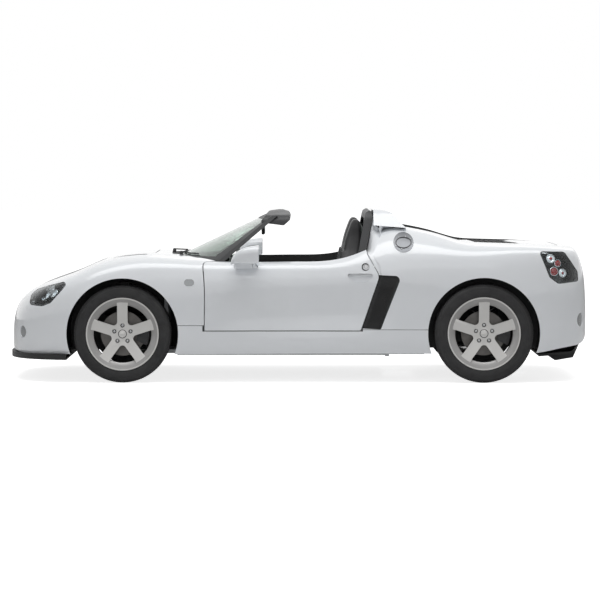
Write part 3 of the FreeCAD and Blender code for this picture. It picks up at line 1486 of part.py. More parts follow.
def exhaust():
    """A silencer across the tail with two round tips in the middle."""
    box = Part.makeCylinder(80, 520, Vector(TAIL - 340, -260, 340), Y_AXIS)
    tips = []
    for y in (-52, 52):
        pipe = rod(Vector(TAIL - 330, y, 300), Vector(TAIL - 22, y, 268), 36)
        bore = rod(Vector(TAIL - 120, y, 278.2), Vector(TAIL + 10, y, 264.7), 32)
        tips.append((pipe, bore))
    whole = box.fuse([pipe for pipe, bore in tips])
    for pipe, bore in tips:
        whole = whole.cut(bore)
    return whole


feature("exhaust", exhaust())


# Mirrors

def mirror():
    """The left door mirror: a housing that opens towards the driver, on a short foot."""
    levels = [(-436, 40, 22, 772), (-400, 120, 70, 812), (-340, 172, 104, 828), (-256, 188, 112, 834)]
    wires = []
    for x, wide, tall, height in levels:
        middle = -892
        ring = [(-wide / 2, -tall / 2, tall * 0.3), (wide / 2, -tall / 2, tall * 0.3),
                (wide / 2, tall / 2, tall * 0.4), (-wide / 2, tall / 2, tall * 0.4)]
        wires.append(rounded(ring, lambda a, b: Vector(x, middle + a, height + b)))
    housing = Part.makeLoft(wires, True, False)
    foot = plan_view([(-420, -840, 10), (-300, -840, 10), (-250, -740, 20), (-400, -740, 20)], 740, 806)
    dish = front_view([(-80, -44, 20), (80, -44, 20), (80, 44, 30), (-80, 44, 30)], -268, -200)
    dish.translate(Vector(0, -892, 834))
    return housing.fuse(foot).cut(dish).cut(near(OUTER, foot)).cut(LEFT_DOOR)


LEFT_MIRROR = mirror()
feature("mirror_left", LEFT_MIRROR)
feature("mirror_right", other_side(LEFT_MIRROR))

doc.recompute()
for thing in doc.Objects:
    if "Invalid" in thing.State or "Error" in thing.State:
        raise RuntimeError(f"{thing.Label} did not recompute: {thing.State}")
os.makedirs("parts", exist_ok=True)
for thing in NODES:
    shape = thing.Shape
    if shape.isNull() or not shape.isValid() or not shape.Solids:
        raise RuntimeError(f"{thing.Label} has no valid solid")
    print(thing.Label, len(shape.Solids), round(shape.Volume / 1e6, 2))
    shape.exportStep(f"parts/{thing.Label}.step")
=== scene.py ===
"""Looks of the roadster: finishes, tyres, lamps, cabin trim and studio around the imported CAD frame."""

from __future__ import annotations

import json
import logging
import math
from dataclasses import dataclass, field, replace
from enum import Enum
from typing import Any, Iterable, Iterator

import bmesh
import bpy
from mathutils import Matrix, Vector
from mathutils.bvhtree import BVHTree

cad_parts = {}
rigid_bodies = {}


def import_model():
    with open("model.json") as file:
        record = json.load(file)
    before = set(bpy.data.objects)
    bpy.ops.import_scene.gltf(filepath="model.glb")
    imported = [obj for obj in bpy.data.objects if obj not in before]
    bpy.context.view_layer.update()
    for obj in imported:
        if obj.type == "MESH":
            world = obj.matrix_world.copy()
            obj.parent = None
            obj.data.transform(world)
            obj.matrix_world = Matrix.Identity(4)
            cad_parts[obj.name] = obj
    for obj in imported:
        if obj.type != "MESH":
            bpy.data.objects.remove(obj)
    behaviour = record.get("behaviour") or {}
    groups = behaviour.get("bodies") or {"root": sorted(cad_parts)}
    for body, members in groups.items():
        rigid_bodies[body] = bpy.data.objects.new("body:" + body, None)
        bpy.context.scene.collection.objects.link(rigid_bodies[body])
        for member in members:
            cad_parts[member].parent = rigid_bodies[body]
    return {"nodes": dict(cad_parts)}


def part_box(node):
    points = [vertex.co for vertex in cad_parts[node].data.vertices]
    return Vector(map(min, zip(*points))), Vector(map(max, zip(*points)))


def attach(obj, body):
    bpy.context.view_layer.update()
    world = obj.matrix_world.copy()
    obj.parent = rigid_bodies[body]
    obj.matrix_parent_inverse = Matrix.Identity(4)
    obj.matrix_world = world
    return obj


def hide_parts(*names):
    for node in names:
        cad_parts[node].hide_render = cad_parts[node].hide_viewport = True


LOG = logging.getLogger("roadster")
MM = 0.001
SIDES = (("left", -1), ("right", 1))
# Vertices nearer to one another than this, in metres, become one.
MERGE = 1e-6
# Rays to the skin start this far out from the car's middle, or this high above the ground.
BESIDE, ABOVE = 1.2, 1.4
# A wave texture shows about two pi bands in a unit, where the other textures show one feature.
BANDS = 6.3
# Spokes and wheel bolts stand in fives, the first one upright.
SPOKES = 5
FIRST_SPOKE_DEG, SPOKE_STEP_DEG = 90, 72


# Small helpers

def linear(code: str) -> tuple[float, float, float, float]:
    """Turn an sRGB hex colour into Blender's linear colour.

    Args:
        code: A colour such as "#C4C2C0".

    Returns:
        Red, green, blue and an alpha of 1.
    """
    parts = [int(code[i:i + 2], 16) / 255 for i in (1, 3, 5)]
    red, green, blue = (p / 12.92 if p <= 0.04045 else ((p + 0.055) / 1.055) ** 2.4 for p in parts)
    return red, green, blue, 1.0


def add(tree: bpy.types.NodeTree, kind: str, values: dict[str, Any] | None = None,
        links: dict[str, Any] | None = None, **attributes: Any) -> bpy.types.Node:
    """Add a node with its settings and links.

    Args:
        tree: The node tree.
        kind: The node's type, without "ShaderNode".
        values: Input name or number to a constant.
        links: Input name or number to the socket that feeds it.
        **attributes: The node's own settings.

    Returns:
        The new node.
    """
    node = tree.nodes.new(f"ShaderNode{kind}")
    for name, value in attributes.items():
        setattr(node, name, value)
    for name, value in (values or {}).items():
        node.inputs[name].default_value = value
    for name, socket in (links or {}).items():
        tree.links.new(socket, node.inputs[name])
    return node


def per_mm(size: float) -> float:
    """Texture scale that gives features of a size in millimetres."""
    return 1 / (size * MM)


# Finishes

class Pattern(Enum):
    """How a surface was made, where that leaves a pattern."""

    GRAIN = "grain"
    PEBBLE = "pebble"
    TURNED = "turned"
    WEAVE = "weave"


@dataclass(frozen=True)
class Finish:
    """A finish of one real material.

    Attributes:
        name: What the material is and how its surface was made.
        color: Its colour.
        shade: The colour that it drifts to over drift_mm.
        roughness: Its roughness, lowest and highest.
        metallic: 1 for bare metal.
        coat: Strength of a clear coat.
        sheen: Strength of a fabric's sheen.
        pattern: The surface's fine pattern.
        grain_mm: Size of the fine pattern.
        relief_mm: Height of the fine pattern.
        drift_mm: Size of the slow change of colour.
        see_through: Transmission, for glass and clear plastic.
        ior: Index of refraction.
        glow: Strength of its own light.
        centre: Where the rings of a turned pattern have their middle.
    """

    name: str
    color: str
    shade: str
    roughness: tuple[float, float]
    metallic: float = 0.0
    coat: float = 0.0
    sheen: float = 0.0
    pattern: Pattern = Pattern.GRAIN
    grain_mm: float = 1.5
    relief_mm: float = 0.02
    drift_mm: float = 120.0
    see_through: float = 0.0
    ior: float = 1.5
    glow: float = 0.0
    centre: tuple[float, float, float] = (0.0, 0.0, 0.0)

    def material(self) -> bpy.types.Material:
        """Build the node material.

        Returns:
            The material, made once for each finish.
        """
        made = bpy.data.materials.get(self.name)
        if made:
            return made
        made = bpy.data.materials.new(self.name)
        made.use_nodes = True
        tree = made.node_tree
        shader = tree.nodes["Principled BSDF"]
        place = add(tree, "TexCoord").outputs["Object"]
        drift = add(tree, "TexNoise", {"Scale": per_mm(self.drift_mm), "Detail": 3.0}, {"Vector": place})
        color = add(tree, "Mix", {6: linear(self.color), 7: linear(self.shade)},
                    {0: drift.outputs["Fac"]}, data_type="RGBA")
        tree.links.new(color.outputs[2], shader.inputs["Base Color"])
        low, high = self.roughness
        rough = add(tree, "MapRange", {"From Min": 0.3, "From Max": 0.7, "To Min": low, "To Max": high},
                    {"Value": drift.outputs["Fac"]})
        tree.links.new(rough.outputs["Result"], shader.inputs["Roughness"])
        bump = add(tree, "Bump", {"Strength": 1.0, "Distance": self.relief_mm * MM},
                   {"Height": self._relief(tree, place)})
        tree.links.new(bump.outputs["Normal"], shader.inputs["Normal"])
        shader.inputs["Metallic"].default_value = self.metallic
        shader.inputs["IOR"].default_value = self.ior
        shader.inputs["Transmission Weight"].default_value = self.see_through
        shader.inputs["Coat Weight"].default_value = self.coat
        shader.inputs["Coat Roughness"].default_value = 0.04
        shader.inputs["Sheen Weight"].default_value = self.sheen
        if self.glow:
            shader.inputs["Emission Color"].default_value = linear(self.color)
            shader.inputs["Emission Strength"].default_value = self.glow
        return made

    def _relief(self, tree: bpy.types.NodeTree, place: bpy.types.NodeSocket) -> bpy.types.NodeSocket:
        """Add the fine pattern's nodes.

        Args:
            tree: The material's nodes.
            place: Object coordinates.

        Returns:
            The socket that holds the height.
        """
        scale = per_mm(self.grain_mm)
        if self.pattern is Pattern.PEBBLE:
            cells = add(tree, "TexVoronoi", {"Scale": scale}, {"Vector": place}, feature="SMOOTH_F1")
            return cells.outputs[0]
        if self.pattern is Pattern.TURNED:
            middle = add(tree, "Mapping", {"Location": [-c for c in self.centre]}, {"Vector": place})
            wave = add(tree, "TexWave", {"Scale": scale / BANDS, "Distortion": 0.6, "Detail": 1.0},
                       {"Vector": middle.outputs[0]}, wave_type="RINGS", rings_direction="Y")
            return wave.outputs["Fac"]
        if self.pattern is Pattern.WEAVE:
            over = add(tree, "TexWave", {"Scale": scale / BANDS}, {"Vector": place}, bands_direction="X")
            under = add(tree, "TexWave", {"Scale": scale / BANDS}, {"Vector": place}, bands_direction="Z")
            both = add(tree, "Math", {}, {0: over.outputs["Fac"], 1: under.outputs["Fac"]},
                       operation="MULTIPLY")
            return both.outputs[0]
        return add(tree, "TexNoise", {"Scale": scale, "Detail": 2.0}, {"Vector": place}).outputs["Fac"]


# Pearl paint under clear lacquer: white with a slow, faint drift and a trace of orange peel.
PEARL = Finish("pearl paint under lacquer", "#E9ECEF", "#E2E5E9", (0.28, 0.34), coat=1.0, grain_mm=3.0,
               relief_mm=0.004, drift_mm=600)
# Satin powder coat on the screen frame and hoop: dark grey, soft highlights.
SATIN_GREY = Finish("satin powder-coated aluminium", "#232426", "#1C1D1F", (0.42, 0.52), grain_mm=1.2,
                    relief_mm=0.02)
# Laminated glass: a green cast, mirror smooth.
TINTED_GLASS = Finish("green-tinted laminated glass", "#D9EBE0", "#D4E8DC", (0.0, 0.01), ior=1.45,
                      see_through=1.0, relief_mm=0.0)
# Moulded polycarbonate lens: colourless and glossy.
CLEAR_LENS = Finish("clear moulded polycarbonate", "#F2F6F8", "#EEF3F6", (0.01, 0.02), ior=1.3,
                    see_through=1.0, relief_mm=0.0)
# Moulded ABS with a fine spark-eroded grain: almost black, dull.
BLACK_ABS = Finish("grained black ABS", "#1B1C1D", "#161718", (0.5, 0.62), grain_mm=1.4, relief_mm=0.05)
# Gloss black ABS inside the lamps.
GLOSS_BLACK = Finish("gloss black ABS", "#0E0F10", "#131415", (0.12, 0.2), grain_mm=2, relief_mm=0.004)
# Vacuum-metallised plastic: bright reflectors.
METALLISED = Finish("metallised reflector plastic", "#E9EBEC", "#DADCDD", (0.05, 0.1), metallic=1.0,
                    relief_mm=0.002)
# Signal-red acrylic of the tail lamps, with pressed prisms.
RED_ACRYLIC = Finish("red acrylic lens", "#B0060E", "#8E040A", (0.08, 0.14), coat=0.6, grain_mm=5,
                     relief_mm=0.1, pattern=Pattern.PEBBLE)
# Vulcanised rubber: charcoal, slightly dusty, with fine pores.
TYRE_RUBBER = Finish("vulcanised tyre rubber", "#222223", "#1B1B1C", (0.62, 0.78), grain_mm=2.0,
                     relief_mm=0.06, drift_mm=60)
# Silver lacquer on a cast wheel: metallic, softened by clear coat.
WHEEL_SILVER = Finish("silver lacquer on cast aluminium", "#C9C8C6", "#BEBDBB", (0.3, 0.36), metallic=0.75,
                      coat=0.5, grain_mm=2.0, relief_mm=0.008)
# The wheel's silver made darker and duller: painted shade on the slopes of the dishes between the spokes.
DISH_SILVER = Finish("thin silver lacquer on cast aluminium", "#9A9998", "#8E8D8C", (0.36, 0.44),
                     metallic=0.6, coat=0.3, grain_mm=2.0, relief_mm=0.008)
# Turned cast iron: concentric marks from pads and lathe.
TURNED_IRON = Finish("turned cast iron", "#6A6866", "#565452", (0.34, 0.48), metallic=1.0,
                     pattern=Pattern.TURNED, grain_mm=3.0, relief_mm=0.05, drift_mm=50)
# Sand-cast iron: dark grey and rough.
CAST_IRON = Finish("sand-cast iron", "#4A4A4B", "#3B3B3C", (0.55, 0.7), metallic=0.6, grain_mm=2.5,
                   relief_mm=0.12, drift_mm=40)
# Black-enamelled steel of the arms and the rear frame.
CHASSIS_BLACK = Finish("black-enamelled steel", "#1F2022", "#191A1B", (0.35, 0.5), grain_mm=3, relief_mm=0.03)
# Bare anodised extrusions of the tub.
ANODISED = Finish("clear-anodised aluminium", "#A9ABAD", "#9DA0A2", (0.32, 0.44), metallic=0.9, grain_mm=1.6,
                  relief_mm=0.015)
# The fuel cap is bead-blasted before it is anodised, so it is greyer than the plain parts.
SATIN_ANODISED = Finish("bead-blasted anodised aluminium", "#7E8083", "#747679", (0.42, 0.52), metallic=0.8,
                        grain_mm=1.2, relief_mm=0.01)
# Polished and pickled stainless steel of the exhaust.
STAINLESS = Finish("polished stainless steel", "#CFCECB", "#B9B6B0", (0.12, 0.24), metallic=1.0, grain_mm=3,
                   relief_mm=0.01, drift_mm=60)
# Zinc-plated fasteners.
ZINC = Finish("zinc-plated steel", "#C2C3C4", "#ACADAF", (0.22, 0.34), metallic=1.0, grain_mm=2,
              relief_mm=0.01, drift_mm=10)
# Dyed leather with a pebbled grain.
LEATHER = Finish("pebbled black leather", "#232325", "#1B1B1D", (0.42, 0.56), pattern=Pattern.PEBBLE,
                 grain_mm=2.6, relief_mm=0.12, sheen=0.1)
# Knitted suede of the seat centres.
SUEDE = Finish("brushed suede cloth", "#2E2F32", "#26272A", (0.85, 0.95), pattern=Pattern.WEAVE, grain_mm=2.0,
               relief_mm=0.1, sheen=0.5)
# Soft-touch skin of the dashboard.
SOFT_SKIN = Finish("soft-touch dashboard skin", "#202123", "#1A1B1C", (0.6, 0.72), pattern=Pattern.PEBBLE,
                   grain_mm=1.8, relief_mm=0.06)
# Cast alloy of the engine block.
ENGINE_ALLOY = Finish("cast engine alloy", "#8E9092", "#7B7D7F", (0.45, 0.6), metallic=0.8, grain_mm=3,
                      relief_mm=0.1, drift_mm=80)
# Silvered mirror glass.
MIRROR_GLASS = Finish("silvered mirror glass", "#DDE3E6", "#D8DEE2", (0.01, 0.02), metallic=1.0,
                      relief_mm=0.0)
# White printing on a dial.
DIAL_WHITE = Finish("white printed dial marks", "#E4E4E0", "#DADAD6", (0.5, 0.6), relief_mm=0.0)
# Prismatic acrylic over a metallised back: pale grey side lamps and reflectors.
PRISM_LENS = Finish("prismatic clear acrylic lens", "#A3A6A8", "#8E9193", (0.08, 0.16), metallic=0.5,
                    coat=0.8, grain_mm=4, relief_mm=0.15, pattern=Pattern.PEBBLE)
# Unpainted glass-fibre on the panels' inner sides.
BARE_FIBRE = Finish("unpainted black glass-fibre", "#1A1B1B", "#222323", (0.6, 0.75), grain_mm=6,
                    relief_mm=0.2, drift_mm=90)

NODE_FINISH: dict[str, Finish] = {
    "front_clam": PEARL, "rear_clam": PEARL, "sill_panels": PEARL, "door_left": PEARL, "door_right": PEARL,
    "engine_lid": PEARL, "front_lid": PEARL, "roll_hoop_cover": PEARL, "mirror_left": PEARL,
    "mirror_right": PEARL, "headlamps": GLOSS_BLACK, "tail_lamps": GLOSS_BLACK,
    "headlamp_covers": CLEAR_LENS, "tail_lamp_covers": CLEAR_LENS, "front_grille": BLACK_ABS,
    "side_intakes": BLACK_ABS, "windscreen_frame": SATIN_GREY, "windscreen": TINTED_GLASS,
    "roll_hoop": SATIN_GREY, "tub": ANODISED, "arch_liners": BLACK_ABS, "front_bay": BLACK_ABS,
    "rear_frame": CHASSIS_BLACK, "engine_block": ENGINE_ALLOY, "wishbones": CHASSIS_BLACK,
    "spring_dampers": CHASSIS_BLACK, "rear_knuckles": CAST_IRON, "front_knuckle_left": CAST_IRON,
    "front_knuckle_right": CAST_IRON, "seats": LEATHER, "dashboard": SOFT_SKIN, "steering_wheel": LEATHER,
    "centre_console": SOFT_SKIN, "front_splitter": BLACK_ABS, "rear_diffuser": BLACK_ABS,
    "exhaust": STAINLESS, "small_lamps": PRISM_LENS, "fuel_cap": SATIN_ANODISED, "bonnet_vents": BLACK_ABS,
    "engine_vent": BLACK_ABS, "rear_window": TINTED_GLASS,
}
# Painted panels whose inner side shows when something opens.
SKINNED = ("front_clam", "rear_clam", "sill_panels", "door_left", "door_right", "engine_lid", "front_lid")


# Meshes

def piece(name: str, mesh: bmesh.types.BMesh, finish: Finish, body: str, slot: str,
          smooth_below: float = 35.0) -> bpy.types.Object:
    """Make an object of a bmesh, dressed and riding on a body.

    Args:
        name: The piece's name.
        mesh: Its shape, in the row frame.
        finish: Its finish.
        body: The CAD body that it moves with.
        slot: The record's material slot; not used.
        smooth_below: Edges flatter than this angle are smooth.

    Returns:
        The object.
    """
    data = bpy.data.meshes.new(name)
    bmesh.ops.remove_doubles(mesh, verts=mesh.verts, dist=MERGE)
    bmesh.ops.recalc_face_normals(mesh, faces=mesh.faces)
    mesh.to_mesh(data)
    mesh.free()
    data.shade_smooth()
    data.set_sharp_from_angle(angle=math.radians(smooth_below))
    made = bpy.data.objects.new(name, data)
    bpy.context.scene.collection.objects.link(made)
    data.materials.append(finish.material())
    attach(made, body)
    LOG.info("piece %s on %s", name, body)
    return made


def bevelled(made: bpy.types.Object, width_mm: float, segments: int = 2) -> bpy.types.Object:
    """Round a piece's hard edges with a live Bevel.

    Args:
        made: The piece.
        width_mm: Width of the bevel.
        segments: Its segments.

    Returns:
        The same piece.
    """
    bevel = made.modifiers.new("edges", "BEVEL")
    bevel.width = width_mm * MM
    bevel.segments = segments
    bevel.limit_method = "ANGLE"
    bevel.angle_limit = math.radians(40)
    bevel.harden_normals = True
    return made


def spun(profile: Iterable[tuple[float, float]], axis: Vector, centre: Vector, steps: int,
         closed: bool = False) -> bmesh.types.BMesh:
    """Spin a profile about an axis.

    Args:
        profile: (along, radius) points, in metres.
        axis: The axis's direction.
        centre: A point on it, where along is 0.
        steps: Steps of the full turn.
        closed: Whether the profile's ends are joined.

    Returns:
        The turned shape.
    """
    mesh = bmesh.new()
    out = axis.orthogonal().normalized()
    ring = [mesh.verts.new(centre + axis * a + out * r) for a, r in profile]
    edges = [mesh.edges.new(pair) for pair in zip(ring, ring[1:])]
    if closed:
        edges.append(mesh.edges.new((ring[-1], ring[0])))
    bmesh.ops.spin(mesh, geom=ring + edges, cent=centre, axis=axis, angle=2 * math.pi, steps=steps,
                   use_merge=True)
    bmesh.ops.remove_doubles(mesh, verts=mesh.verts, dist=MERGE)
    return mesh


def joined(meshes: Iterable[bmesh.types.BMesh]) -> bmesh.types.BMesh:
    """Put several shapes into one bmesh.

    Args:
        meshes: The shapes, which are used up.

    Returns:
        One bmesh with all of them.
    """
    whole = bmesh.new()
    for part in meshes:
        data = bpy.data.meshes.new("part")
        part.to_mesh(data)
        part.free()
        whole.from_mesh(data)
        bpy.data.meshes.remove(data)
    return whole


def less(mesh: bmesh.types.BMesh, cutter: bmesh.types.BMesh) -> bmesh.types.BMesh:
    """Take one closed shape away from another.

    Args:
        mesh: The shape that stays, which is used up.
        cutter: The shape taken away, which is used up.

    Returns:
        What is left.
    """
    pair = []
    for name, part in (("whole", mesh), ("cutter", cutter)):
        data = bpy.data.meshes.new(name)
        part.to_mesh(data)
        part.free()
        pair.append(bpy.data.objects.new(name, data))
        bpy.context.scene.collection.objects.link(pair[-1])
    cut = pair[0].modifiers.new("cut", "BOOLEAN")
    cut.object = pair[1]
    cut.operation = "DIFFERENCE"
    cut.solver = "EXACT"
    graph = bpy.context.evaluated_depsgraph_get()
    left = bmesh.new()
    left.from_mesh(pair[0].evaluated_get(graph).to_mesh())
    for made in pair:
        data = made.data
        bpy.data.objects.remove(made)
        bpy.data.meshes.remove(data)
    return left


def shell(mesh: bmesh.types.BMesh, rows: Iterable[list[bmesh.types.BMVert]]) -> None:
    """Span faces between rows of vertices that run side by side.

    Args:
        mesh: The shape that holds the vertices.
        rows: The rows, all of one length.
    """
    rows = list(rows)
    for near, far in zip(rows, rows[1:]):
        for number in range(len(near) - 1):
            mesh.faces.new((near[number], near[number + 1], far[number + 1], far[number]))


def moved(mesh: bmesh.types.BMesh, change: Matrix) -> bmesh.types.BMesh:
    """Transform a bmesh and return it."""
    bmesh.ops.transform(mesh, matrix=change, verts=mesh.verts)
    return mesh


def soft_block(size: tuple[float, float, float], rounding: float, cuts: int) -> bmesh.types.BMesh:
    """A box with rounded edges and many faces, about the origin.

    Args:
        size: Its three sizes, in metres.
        rounding: Radius of its edges, in metres.
        cuts: How often each side is divided.

    Returns:
        The shape, ready to be bent by moving its vertices.
    """
    mesh = bmesh.new()
    bmesh.ops.create_cube(mesh, size=2.0)
    bmesh.ops.subdivide_edges(mesh, edges=mesh.edges, cuts=cuts, use_grid_fill=True)
    half = [s / 2 for s in size]
    for vert in mesh.verts:
        spot = Vector(h * c for h, c in zip(half, vert.co))
        core = Vector(max(-h + rounding, min(h - rounding, c)) for h, c in zip(half, spot))
        reach = spot - core
        if reach.length > 0:
            vert.co = core + reach.normalized() * rounding
        else:
            vert.co = spot
    return mesh


class Skin:
    """A CAD node's surface, for setting pieces on it."""

    def __init__(self, node: bpy.types.Object) -> None:
        """Note the node's surface in the row frame.

        Args:
            node: The CAD node's object.
        """
        mesh = bmesh.new()
        mesh.from_mesh(node.data)
        mesh.transform(node.matrix_world)
        self.tree = BVHTree.FromBMesh(mesh)
        mesh.free()

    def hit(self, start: tuple[float, float, float],
            way: tuple[float, float, float]) -> tuple[Vector, Vector]:
        """Where a ray first meets the surface.

        Args:
            start: Where the ray starts.
            way: Its direction.

        Returns:
            The place, and the surface's normal against the ray.
        """
        toward = Vector(way)
        spot, normal, _, _ = self.tree.ray_cast(Vector(start), toward)
        if spot is None:
            raise ValueError(f"no surface from {start} along {way}")
        return spot, -normal if normal.dot(toward) > 0 else normal

    def beside(self, along: float, level: float, sign: int = -1) -> tuple[Vector, Vector]:
        """Where the surface is met from the car's side, and its normal."""
        return self.hit((along, sign * BESIDE, level), (0, -sign, 0))

    def below(self, along: float, across: float) -> tuple[Vector, Vector]:
        """Where the surface is met from above, and its normal."""
        return self.hit((along, across, ABOVE), (0, 0, -1))


def mirrored(mesh: bmesh.types.BMesh) -> bmesh.types.BMesh:
    """A shape and its copy on the car's other side.

    Args:
        mesh: The left side's shape, which is used up.

    Returns:
        One bmesh with both.
    """
    copy = mesh.copy()
    bmesh.ops.scale(copy, vec=(1, -1, 1), verts=copy.verts)
    bmesh.ops.reverse_faces(copy, faces=copy.faces)
    return joined([mesh, copy])


def rod_between(low: Vector, high: Vector, radius: float, steps: int = 16) -> bmesh.types.BMesh:
    """A round rod with softened ends.

    Args:
        low: Its one end.
        high: Its other end.
        radius: Its radius, in metres.
        steps: Its sides.

    Returns:
        The rod.
    """
    run = high - low
    soft = radius * 0.2
    return spun([(0, 0), (0, radius - soft), (soft, radius), (run.length - soft, radius),
                 (run.length, radius - soft), (run.length, 0)], run.normalized(), low, steps)


def middle_and_half(node: str) -> tuple[Vector, Vector]:
    """Middle of a CAD node's box, and half of its size."""
    low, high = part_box(node)
    return (low + high) / 2, (high - low) / 2


# Sub-assemblies

@dataclass
class Panels:
    """Finishes of the CAD nodes.

    Attributes:
        nodes: The CAD nodes.
        spine: X of both ends, and height, of the line that the panels' inner sides face.
    """

    nodes: dict[str, bpy.types.Object]
    spine: tuple[float, float, float] = (-1.2, 1.3, 0.45)

    def build(self) -> None:
        """Dress the nodes."""
        for name, node in self.nodes.items():
            finish = NODE_FINISH.get(name)
            if name.startswith(("front_wheel", "rear_wheel")):
                finish = WHEEL_SILVER
            if "_disc_" in name:
                finish = self._turned_about(name)
            if finish is None:
                finish = TYRE_RUBBER
            node.data.materials.clear()
            node.data.materials.append(finish.material())
            if name in SKINNED:
                self._line(node)

    def _line(self, node: bpy.types.Object) -> None:
        """Dress the faces that look inwards as bare glass-fibre.

        Args:
            node: A panel's object.
        """
        first, last, height = self.spine
        node.data.materials.append(BARE_FIBRE.material())
        for face in node.data.polygons:
            core = Vector((max(first, min(last, face.center.x)), 0, height))
            if face.normal.dot(face.center - core) < 0:
                face.material_index = 1

    @staticmethod
    def _turned_about(name: str) -> Finish:
        """The brake disc's finish, turned about its own middle."""
        middle, _ = middle_and_half(name)
        return replace(TURNED_IRON, name=f"{TURNED_IRON.name} {name}", centre=tuple(middle))


